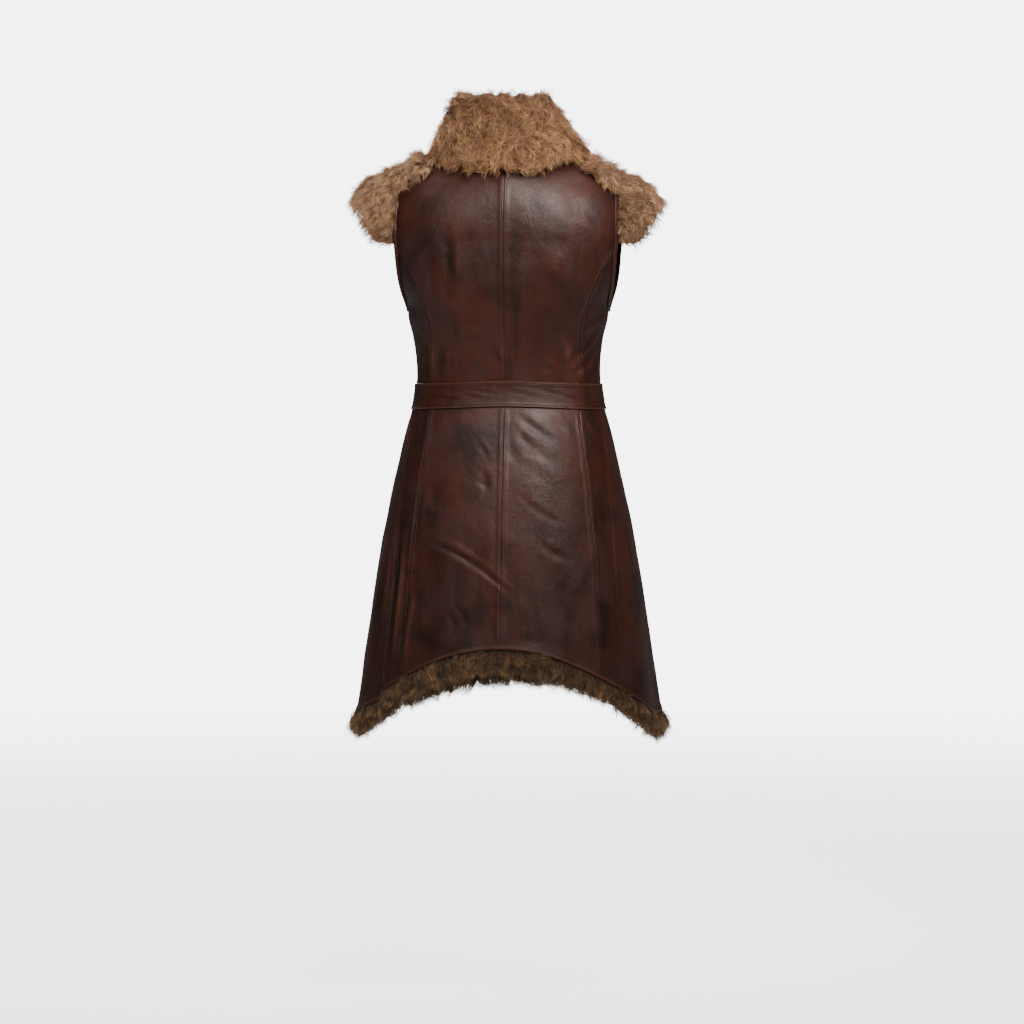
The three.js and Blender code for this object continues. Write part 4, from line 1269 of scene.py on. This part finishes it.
def makeStitches():
    points = np.vstack([row for row, _ in seamRows])
    outs = np.vstack([out for _, out in seamRows])
    pairs, first = [], 0
    for row, _ in seamRows:
        k = np.arange(first, first + len(row) - 1)
        pairs += np.stack([k, k + 1], 1).tolist()
        first += len(row)
    mesh = bpy.data.meshes.new("stitches")
    mesh.from_pydata((points * mm).tolist(), pairs, [])
    mesh.attributes.new("out", "FLOAT_VECTOR", "POINT").data.foreach_set("vector", outs.ravel())
    piece = linked("stitches", mesh)
    shape = makeStitch()
    applyTree(piece, stitchTree(), {"Stitch": shape, "Pitch": stitch["pitch"] * mm, "Material": thread})
    bpy.data.objects.remove(shape)
    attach(piece, "root")
    return piece


stitches = makeStitches()
print("stitches made:", len(stitches.data.polygons), "faces")


lockKinds = 5
strandRings = [(0, 4, 8), (0, 4, 8), (0, 6), (0, 6), (0, 6), (0,), (0,), (0,)]  # where each strand bends
strandSteps = 12
lockLook = {  # widths and curls are shares of the length; rise and droop are in degrees
    "collar": {
        "spread": 0.34, "gather": 0.75, "width": 0.022, "rise": 70, "droop": -24, "curl": 0.12, "seed": 11,
    },
    "shoulder": {
        "spread": 0.3, "gather": 0.75, "width": 0.018, "rise": 58, "droop": -14, "curl": 0.08, "seed": 47,
    },
    "hem": {
        "spread": 0.34, "gather": 0.8, "width": 0.019, "rise": 58, "droop": -18, "curl": 0.08, "seed": 83,
    },
}


# A lock of length 1 that grows from the origin, rises along Z and bends over along X.
def makeLock(kind, number):
    look = lockLook[kind]
    rng = np.random.default_rng(look["seed"] + number)
    points, along, quads, tris = [], [], [], []
    swirl = rng.uniform(-0.4, 0.4)
    fine = np.linspace(0, 1, strandSteps + 1)
    for rings in strandRings:
        turn, far = rng.uniform(0, 2 * math.pi), look["spread"] * math.sqrt(rng.random())
        root = np.array([far * math.cos(turn), far * math.sin(turn), 0])
        long = rng.uniform(0.7, 1.1)
        rise = math.radians(look["rise"] + rng.uniform(-15, 15))
        droop = math.radians(look["droop"] + rng.uniform(-24, 24))
        lean = mix(rise, droop, fine**0.75)
        x = np.concatenate([[0], np.cumsum(np.cos(lean[1:]))]) / strandSteps * long
        z = np.concatenate([[0], np.cumsum(np.sin(lean[1:]))]) / strandSteps * long
        phase, wave = rng.uniform(0, 6.28), look["curl"] * rng.uniform(0.5, 1.3)
        y = swirl * fine**2 * long + wave * np.sin(6 * fine + phase) - wave * math.sin(phase)
        width = look["width"] * rng.uniform(0.75, 1.25)
        first = len(points)
        for ring, k in enumerate(rings):
            centre = root * (1 - look["gather"] * fine[k]) + (x[k], y[k], z[k])
            radius = width * (1 - 0.2 * ring)
            ahead = np.array([math.cos(lean[k]), 0, math.sin(lean[k])])
            across, up = np.array([0.0, 1, 0]), np.cross(ahead, [0, 1, 0])
            for corner in range(3):
                a = 2 * math.pi * corner / 3 + phase
                points.append(centre + radius * (math.cos(a) * across + math.sin(a) * up))
                along.append(fine[k] * long)
        points.append(root * (1 - look["gather"]) + (x[-1], y[-1], z[-1]))
        along.append(long)
        for ring in range(len(rings) - 1):
            for corner in range(3):
                a, b = first + 3 * ring + corner, first + 3 * ring + (corner + 1) % 3
                quads.append((a, b, b + 3, a + 3))
        tip, last = first + 3 * len(rings), first + 3 * len(rings) - 3
        tris += [(last + k, last + (k + 1) % 3, tip) for k in range(3)]
        tris.append((first + 2, first + 1, first))
    faces = (np.array(quads), np.array(tris))
    along = {"along": np.array(along)}
    return makeObject(f"lock_{kind}_{number}", np.array(points) / mm, faces, furs[kind], along)


locks = {}
for kind in lockLook:
    locks[kind] = bpy.data.collections.new("locks_" + kind)
    for number in range(lockKinds):
        piece = makeLock(kind, number)
        bpy.context.scene.collection.objects.unlink(piece)
        locks[kind].objects.link(piece)


lockTurns = (0.22, 0.3, 1.0)  # how far a lock may turn about each of its axes, in radians, times the disorder
lockSizes = (0.75, 1.2)


def chance(tree, kind, inputs, output):
    return addNode(tree, "FunctionNodeRandomValue", inputs, data_type=kind).outputs[output]


def lockTree():
    tree, given, result = geometryTree("fur_locks", [
        ("Locks", "NodeSocketCollection"), ("Spacing", "NodeSocketFloat"), ("Seed", "NodeSocketInt"),
        ("Length", "NodeSocketFloat"), ("Disorder", "NodeSocketFloat"), ("Material", "NodeSocketMaterial"),
    ])
    spread = addNode(tree, "GeometryNodeDistributePointsOnFaces", {
        "Mesh": given["Geometry"], "Distance Min": given["Spacing"], "Density Max": 200000.0,
        "Seed": given["Seed"], "Density Factor": namedField(tree, "full", "FLOAT"),
    }, distribute_method="POISSON")
    turned = addNode(tree, "FunctionNodeAxesToRotation", {
        0: spread.outputs["Normal"], 1: namedField(tree, "flow", "FLOAT_VECTOR"),
    }, primary_axis="Z", secondary_axis="X").outputs[0]
    least = tuple(-turn for turn in lockTurns)
    wild = chance(tree, "FLOAT_VECTOR", {0: least, 1: lockTurns, 8: given["Seed"]}, 0)
    scaled = addNode(tree, "ShaderNodeVectorMath", {0: wild, "Scale": given["Disorder"]}, operation="SCALE")
    euler = addNode(tree, "FunctionNodeEulerToRotation", {0: scaled.outputs[0]}).outputs[0]
    loose = addNode(tree, "FunctionNodeRotateRotation", {0: turned, 1: euler}, rotation_space="LOCAL")
    kinds = addNode(tree, "GeometryNodeCollectionInfo", {
        "Collection": given["Locks"], "Separate Children": True, "Reset Children": True,
    })
    pick = chance(tree, "INT", {4: 0, 5: lockKinds - 1}, 2)
    size = chance(tree, "FLOAT", {2: lockSizes[0], 3: lockSizes[1]}, 1)
    long = sums(tree, "MULTIPLY", size, given["Length"])
    long = sums(tree, "MULTIPLY", long, namedField(tree, "pile", "FLOAT"))
    placed = addNode(tree, "GeometryNodeInstanceOnPoints", {
        "Points": spread.outputs["Points"], "Instance": kinds.outputs[0], "Pick Instance": True,
        "Instance Index": pick, "Rotation": loose.outputs[0], "Scale": long,
    })
    toned = addNode(tree, "GeometryNodeStoreNamedAttribute", {
        "Geometry": placed.outputs[0], "Name": "tone",
        "Value": chance(tree, "FLOAT", {2: 0.0, 3: 1.0, 8: 5}, 1),
    }, data_type="FLOAT", domain="INSTANCE")
    real = addNode(tree, "GeometryNodeRealizeInstances", {"Geometry": toned.outputs[0]}).outputs[0]
    finished = addNode(tree, "GeometryNodeSetMaterial", {"Geometry": real, "Material": given["Material"]})
    tree.links.new(finished.outputs[0], result.inputs[0])
    return tree


growLocks = lockTree()


def gridNormals(points):
    return unit(np.cross(np.gradient(points, axis=0), np.gradient(points, axis=1)))


# Turns all normals round where those of one part point against the way out.
def turnedOut(normals, part, way):
    return -normals if (normals[part] * way).sum() < 0 else normals


def triangles(piece):
    return sum(len(face.vertices) - 2 for face in piece.data.polygons)


hairRoots = 0.8  # the locks grow from this far above the pelt's own surface


def makeLocks(name, points, normals, flow, pile, kind, look, seed, full=1.0):
    rows, wide = points.shape[:2]
    grid = np.arange(rows * wide).reshape(rows, wide)
    quads = cornersOf(grid[:-1, :-1], grid[1:, :-1], grid[1:, 1:], grid[:-1, 1:])
    flat = points.reshape(-1, 3)
    a, b, c = flat[quads[:, 0]], flat[quads[:, 1]], flat[quads[:, 3]]
    outwards = np.einsum("ij,ij->i", np.cross(b - a, c - a), normals.reshape(-1, 3)[quads[:, 0]])
    if outwards.sum() < 0:
        quads = quads[:, ::-1]
    mesh = bpy.data.meshes.new(name)
    mesh.from_pydata((flat * mm).tolist(), [], quads.tolist())
    mesh.attributes.new("flow", "FLOAT_VECTOR", "POINT").data.foreach_set("vector", flow.ravel())
    for key, values in (("pile", pile), ("full", full)):
        layer = mesh.attributes.new(key, "FLOAT", "POINT")
        layer.data.foreach_set("value", np.broadcast_to(values, (rows, wide)).ravel())
    piece = linked(name, mesh)
    applyTree(piece, growLocks, {
        "Locks": locks[kind], "Material": furs[kind], "Seed": seed, "Disorder": look["disorder"],
        "Spacing": look["spacing"] * mm, "Length": look["length"] * mm,
    })
    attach(piece, "root")
    print(name, "triangles:", triangles(piece))
    return piece


peltUnder = 1.1  # how far its inner side lies below the surface it is worked out from


# The hide under a fur, thick enough to stand for the down between the locks.
def makePeltPiece(name, points, normals, kind, down):
    outer, inner = points + normals * down, points - normals * peltUnder
    piece = makeWall(name + "_pelt", outer, inner, pelts[kind])
    return declareCloth(piece, name, outer)


# Hair never lies quite one way: turns its flow about the normals.
def swirled(flow, normals, points, amount):
    turn = np.sin(points @ (0.043, 0.031, 0.052)) + 0.7 * np.sin(points @ (-0.071, 0.06, 0.088) + 1.3)
    turn = amount * turn[..., None]
    side = np.cross(normals, flow)
    return unit(flow * np.cos(turn) + side * np.sin(turn))


# Fur is never flat: how far its tufts stand out or sink.
def lumps(points):
    total = np.sin(points @ (0.19, 0.07, 0.12)) + 0.8 * np.sin(points @ (-0.09, 0.2, 0.16) + 1.7)
    return 1.5 * (total + 0.7 * np.sin(points @ (0.24, -0.13, -0.2) + 4.1))[..., None]


# Angle on the neckline, stand, lean, distance of the fall's edge from the centre, and how far
# behind the shoulder line (or with a minus before it) that edge lies.
collarFrames = np.array([
    (0, 106, 13, 0, 76), (30, 109, 12, 56, 65), (55, 110, 8, 98, 42), (75, 110, 4, 130, 14),
    (90, 107, 2, 144, 0), (110, 90, 6, 145, -30), (135, 60, 14, 130, -78), (155, 34, 21, 90, -125),
    (168, 24, 26, 46, -152),
], float)
collarFur = {
    "clear": 1.1, "frames": 110, "across": 34, "length": 29, "spacing": 4.8, "disorder": 0.9,
    "swirl": 0.9, "inside": 0.65, "shift": 9, "down": 4.0, "seeds": {"right": 4, "left": 3},
}


def shoulderHeight(x, y):
    halfWidth, back, front, square = sectionAt(np.full(np.shape(x), float(coat["roll"])))
    depth = np.where(y > 0, back, front)
    reach = depth * (1 - np.abs(x / halfWidth) ** square) ** (1 / square)
    return coat["roll"] + (shoulderLine(x) - coat["roll"]) * np.sqrt(np.maximum(0, 1 - (y / reach) ** 2))


def curveThrough(knots, count):
    at = np.linspace(0, 1, knots.shape[1])
    wanted = np.linspace(0, 1, count)
    k = np.clip((wanted * (len(at) - 1)).astype(int), 0, len(at) - 2)
    t = (wanted * (len(at) - 1) - k)[None, :, None]
    padded = np.concatenate([2 * knots[:, :1] - knots[:, 1:2], knots, 2 * knots[:, -1:] - knots[:, -2:-1]], 1)
    a, b, c, d = (padded[:, k + n] for n in range(4))
    return 0.5 * (2 * b + (c - a) * t + (2 * a - 5 * b + 4 * c - d) * t**2 + (3 * b - a - 3 * c + d) * t**3)


def collarPelt():
    turned = np.linspace(-168, 168, collarFur["frames"])
    sign, place = np.where(turned < 0, -1, 1), np.abs(turned)
    stand, lean, edgeX, edgeDown = (read(collarFrames, place, k)[:, None] for k in (1, 2, 3, 4))
    way = np.stack([np.sin(place * degree), np.cos(place * degree), 0 * place], 1)
    depth = np.where(way[:, 1] > 0, coat["neckBack"], coat["neckFront"])
    seamLine = way / np.hypot(way[:, 0] / coat["neckX"], way[:, 1] / depth)[:, None]
    seamLine[:, 2] = shoulderHeight(seamLine[:, 0], seamLine[:, 1]) + 2 * collarFur["clear"]
    up = np.array([0, 0, 1.0])
    top = seamLine + way * lean + up * stand
    level = -np.abs(edgeDown[:, 0])
    angle = angleOf(level, np.maximum(0.01, edgeX[:, 0]), np.where(edgeDown[:, 0] >= 0, 1, -1))
    edge, normal = coatPoint(angle, level), coatNormal(angle, level)
    fall = unit(edge - top)
    middle = mix(seamLine, top, 0.5)
    knots = np.stack([
        seamLine - way * 2.6 - up * 6,
        middle - way * 1,
        top - way * 4 - up * 14,
        top + way * 2.5 - up * 8,
        top + way * 7 - up * 16,
        mix(top, edge, 0.35) + way * 2 + normal * 2,
        mix(top, edge, 0.7) + way * 3 + normal * 6,
        edge + way * 5 + normal * 9 - fall * 3,
    ], 1)
    knots[..., 0] *= sign[:, None]
    knots[..., 0] += collarFur["shift"] * np.array([0, 0.5, 1, 1, 1, 0.8, 0.4, 0])
    points = curveThrough(knots, collarFur["across"])
    outward = np.stack([way[:, 0] * sign, way[:, 1], way[:, 2]], 1)
    normals = turnedOut(gridNormals(points), np.s_[:, -5], outward)
    flow = unit(np.gradient(points, axis=1))
    sewn = ease(np.arange(collarFur["across"]) / 5)[:, None]
    return points + normals * lumps(points) * sewn, normals, flow


points, normals, flow = collarPelt()
flow = swirled(flow, normals, points, collarFur["swirl"])
share = np.linspace(0, 1, collarFur["across"])[None, :]
pile = np.broadcast_to(0.72 + 0.28 * ease((share - 0.3) / 0.25), points.shape[:2])
middle = collarFur["frames"] // 2
hairFull = mix(collarFur["inside"], 1, ease((share - 0.22) / 0.1))
roots = points + normals * hairRoots
for side, rows in (("right", slice(0, middle + 1)), ("left", slice(middle, None))):
    makeLocks(
        f"collar_locks_{side}", roots[rows], normals[rows], flow[rows], pile[rows], "collar", collarFur,
        collarFur["seeds"][side], hairFull,
    )
under = ("back_left", "back_right")
makePeltPiece("fur_collar", points, normals, "collar", collarFur["down"])

# Distance from the centre, thickness of the fur, and how far it reaches to the back and front.
strips = np.array([(165, 40, 40, 48), (178, 37, 51, 59), (193, 33, 61, 69), (208.8, 30, 68, 78)], float)
stripFur = {
    "lift": 4.4, "first": 138, "rising": 26, "share": 0.38, "length": 26, "thick": 33, "spacing": 3.7,
    "disorder": 0.6, "swirl": 0.45, "down": 2.5, "seed": 21, "raised": {"left": 1, "right": -7},
}
capFur = {
    "clear": 2.4, "under": 60, "first": -8, "last": 188, "turn": 68, "least": 6, "widening": 0.6,
    "roundAcross": 0.8, "roundDown": 0.5, "above": 3, "length": 27, "spacing": 3.5, "disorder": 0.6,
    "swirl": 0.4, "down": 2.5, "seed": 31, "reach": {"left": 72, "right": 67},
    "piles": ((0, 0.3, 0.8, 1), (1.15, 0.55, 1, 1.25)),
}


def stripPelt(side, sign):
    x = np.linspace(stripFur["first"], strips[-1, 0], 18)[:, None]
    share = np.linspace(-1, 1, 36)[None]
    x, share = np.broadcast_arrays(x, share)
    back = np.where(share <= 0, 1, -1)
    edge = np.where(back > 0, read(strips, x, 2), read(strips, x, 3))
    level = -np.abs(share) * edge
    angle = angleOf(coat["roll"], x, back) * sign
    normal = coatNormal(angle, level)
    upright = unit(normal * (0, 1, 1))
    thick = read(strips, x, 1)
    raised = stripFur["raised"][side] + stripFur["share"] * thick
    raised = raised * ease((x - stripFur["first"]) / stripFur["rising"])
    lift = stripFur["lift"] + raised * (0.3 + 0.7 * (1 - share**4))
    points = coatPoint(angle, level) + upright * lift[..., None]
    normals = turnedOut(gridNormals(points), ..., (0, 0, 1))
    down = unit(np.gradient(points, axis=1)) * np.sign(share)[..., None]
    away = unit(np.gradient(points, axis=0))
    flow = unit(down * 0.9 * np.abs(share)[..., None] + away * 0.75)
    return points, normals, flow, thick / stripFur["thick"]


def domePoint(turn, out, side, sign):
    roll = np.float64(coat["roll"])
    arm = [coatPoint(armholeAngle(roll, back), coat["roll"])[1] for back in (1, -1)]
    depth = np.where(np.cos(turn) >= 0, arm[0], -arm[1])
    rise = np.where(np.sin(turn) >= 0, shoulderLine(coat["tipX"]) - coat["roll"], capFur["under"])
    lift = stripFur["lift"] + stripFur["raised"][side] * np.sin(turn)
    left = np.cos(out) ** capFur["roundDown"]
    reach = capFur["reach"][side] * np.sin(out) ** capFur["roundAcross"]
    return np.stack([
        sign * (coat["tipX"] + capFur["clear"] + reach),
        (depth + lift) * left * np.cos(turn),
        coat["roll"] + (rise + lift) * left * np.sin(turn),
    ], -1)


def capPelt(side, sign):
    share = np.linspace(0.015, 0.985, 60)[:, None]
    turn = mix(capFur["first"], capFur["last"], share) * degree
    arch = np.sin(math.pi * share)
    most = (capFur["least"] + (capFur["turn"] - capFur["least"]) * arch ** capFur["widening"]) * degree
    out = most * np.linspace(0, 0.97, 18)[None]
    turn = np.broadcast_to(turn, out.shape)
    points = domePoint(turn, out, side, sign)
    normals = turnedOut(gridNormals(points), np.s_[:, -1], (sign, 0, 0))
    points = points + normals * capFur["above"]
    away = unit(np.gradient(points, axis=1))
    flow = unit(away * 0.7 + np.array([0, 0, -0.75]))
    across = np.interp(np.linspace(0, 1, out.shape[1]), *capFur["piles"])
    pile = (0.55 + 0.45 * np.minimum(1, arch * 2.2)) * across
    return points, normals, flow, pile


for side, sign in sides:
    for part, pelt, look, under in (
        ("shoulder", stripPelt, stripFur, (f"back_{side}", f"front_{side}")),
        ("cap", capPelt, capFur, (f"armhole_facing_{side}",)),
    ):
        points, normals, flow, pile = pelt(side, sign)
        points = points + normals * lumps(points)
        flow = swirled(flow, normals, points, look["swirl"])
        roots = points + normals * hairRoots
        name = f"{part}_locks_{side}"
        grown = makeLocks(name, roots, normals, flow, pile, "shoulder", look, look["seed"])
        name = f"fur_{part}_{side}"
        makePeltPiece(name, points, normals, "shoulder", look["down"])

# The hem's fur is a strip folded over: out from the leather's face, and down from its edge.
hemStrip = np.array([
    (-5.2, -18), (-4.2, -4), (-2.4, 6), (-0.6, 17), (-3, 26), (-9, 28), (-13.8, 19), (-14.8, 5), (-12.5, -16),
], float)
hemFur = {
    "centre": 1.0, "side": 1.1, "across": 28, "length": 31, "spacing": 5.5, "disorder": 0.7, "fromEdge": 6,
    "swirl": 0.35, "overlap": 7, "sweep": 0.45, "down": 1.3, "seed": 41,
}
for part, angles in hemSpans.items():
    angles = angles[::2]
    place = hemFrame(angles)
    swell = mix(hemFur["centre"], hemFur["side"], np.sin(angles) ** 2)[:, None]
    out = np.broadcast_to(hemStrip[None, :, 0], (len(swell), len(hemStrip)))
    down = np.where(hemStrip[None, :, 1] > 0, hemStrip[None, :, 1] * swell, hemStrip[None, :, 1])
    points = curveThrough(hemPlace(place, out, down), hemFur["across"])
    normals = turnedOut(gridNormals(points), np.s_[:, 8], place[1])
    clear = ease((np.arange(hemFur["across"]) - 7) / 6)[:, None]
    points = points + normals * lumps(points) * clear
    below = np.broadcast_to(place[2][:, None], points.shape)
    along = unit(np.gradient(points, axis=0))
    sweep = hemFur["sweep"] * np.sin(np.arctan2(points[..., 0], points[..., 1]) * 9 + 0.8)[..., None]
    flow = swirled(unit(below + along * sweep), normals, points, hemFur["swirl"])
    roots = points + normals * hairRoots
    if part != "back":  # the two fronts' fur meets at the centre
        onward = ease((np.arange(len(points)) - len(points) + 7) / 6)[:, None, None]
        roots = roots + along * onward * hemFur["overlap"]
    hairy = np.s_[:, hemFur["fromEdge"]:]
    name = f"hem_locks_{part}"
    grown = makeLocks(name, roots[hairy], normals[hairy], flow[hairy], 1.0, "hem", hemFur, hemFur["seed"])
    makePeltPiece(f"fur_hem_{part}", points, normals, "hem", hemFur["down"])
for collection in locks.values():
    for piece in list(collection.objects):
        bpy.data.objects.remove(piece)
    bpy.data.collections.remove(collection)
print("fur made")

studio = {
    "floor": -1.575, "wide": 9.0, "corners": 64, "near": 2.5, "fadeEnd": 0.95, "roughness": 0.85,
    "glowSeen": 2.2, "glow": 0.1, "pale": colour(238, 238, 238),
}
white = (1, 1, 1, 1)


# A factor that is one value for the camera and another for all other light.
def cameraOr(tree, otherwise, direct):
    seen = addNode(tree, "ShaderNodeLightPath").outputs["Is Camera Ray"]
    return ramp(tree, seen, 0.0, 1.0, otherwise, direct)


# A pale floor that fades into the pale surroundings.
def makeFloor():
    material, tree, surface = newMaterial("pale_floor")
    glow = cameraOr(tree, studio["glow"], studio["glowSeen"])
    far = addNode(tree, "ShaderNodeVectorMath", {0: objectPlace(tree)}, operation="LENGTH").outputs["Value"]
    wide, corners = studio["wide"], studio["corners"]
    fill(tree, surface, {
        "Base Color": studio["pale"],
        "Roughness": studio["roughness"],
        "Emission Color": white,
        "Emission Strength": glow,
        "Alpha": ramp(tree, far, studio["near"], wide * studio["fadeEnd"], 1.0, 0.0),
    })
    points = [(0, 0, studio["floor"])]
    for k in range(corners):
        turn = 2 * math.pi * k / corners
        points.append((wide * math.cos(turn), wide * math.sin(turn), studio["floor"]))
    mesh = bpy.data.meshes.new("floor")
    mesh.from_pydata(points, [], [(0, 1 + k, 1 + (k + 1) % corners) for k in range(corners)])
    mesh.materials.append(material)
    floor = linked("floor", mesh)


# The turn that points a thing's own -Z along a way, with its Y upwards.
def lookAlong(way):
    return Vector(way).to_track_quat("-Z", "Y").to_euler()


# Place and target in metres, size in metres, power in watts, colour, spread in degrees.
lights = {
    "key": ((-0.8, 2.1, 1.8), (0, 0, 0.02), 1.4, 17.5, (1, 0.88, 0.83), 44),
    "fill": ((1.2, 3.8, 2.4), (0, 0, -0.3), 1.6, 36, (1, 0.94, 0.9), 180),
    "top": ((0, -0.2, 3.0), (0, 0, -0.5), 2.0, 70, (1, 1, 1), 180),
    "front": ((0.9, -2.8, 1.7), (0, 0, -0.5), 1.6, 150, (1, 0.96, 0.93), 180),
}


def addLight(name, place, target, size, power, tint, spread):
    light = bpy.data.lights.new(name, "AREA")
    light.size, light.energy, light.color = size, power, tint
    light.spread = spread * degree
    lamp = linked(name, light)
    lamp.location = place
    lamp.rotation_euler = lookAlong(Vector(target) - Vector(place))


makeFloor()
for name, values in lights.items():
    addLight(name, *values)

surroundings = {"otherwise": 0.12, "direct": 6.0}


# The surroundings look pale and give a soft light from all round.
def makeWorld():
    world = bpy.data.worlds.new("studio")
    world.use_nodes = True
    tree = world.node_tree
    strength = cameraOr(tree, surroundings["otherwise"], surroundings["direct"])
    fill(tree, tree.nodes["Background"], {"Color": white, "Strength": strength})
    bpy.context.scene.world = world


makeWorld()

# Distances in metres, angles in degrees, lens and sensor in millimetres.
view = {
    "lens": 189, "sensor": 36, "end": 60, "far": 10, "turn": 4.5, "raise": 2.25,
    "aim": (-0.0065, 0, -0.645),
}


def addCamera():
    camera = bpy.data.cameras.new("camera")
    camera.lens, camera.sensor_width = view["lens"], view["sensor"]
    camera.clip_end = view["end"]
    eye = linked("camera", camera)
    turn, lift = view["turn"] * degree, view["raise"] * degree
    way = Vector((-math.sin(turn) * math.cos(lift), math.cos(turn) * math.cos(lift), math.sin(lift)))
    eye.location = Vector(view["aim"]) + way * view["far"]
    eye.rotation_euler = lookAlong(-way)
    bpy.context.scene.camera = eye


addCamera()
print("floor, light and camera made")
for name, cut in cuts.items():
    print("cut", name, cut)
shown = [piece for piece in bpy.data.objects if piece.type == "MESH" and not piece.hide_render]
print("triangles in all:", sum(triangles(piece) for piece in shown))
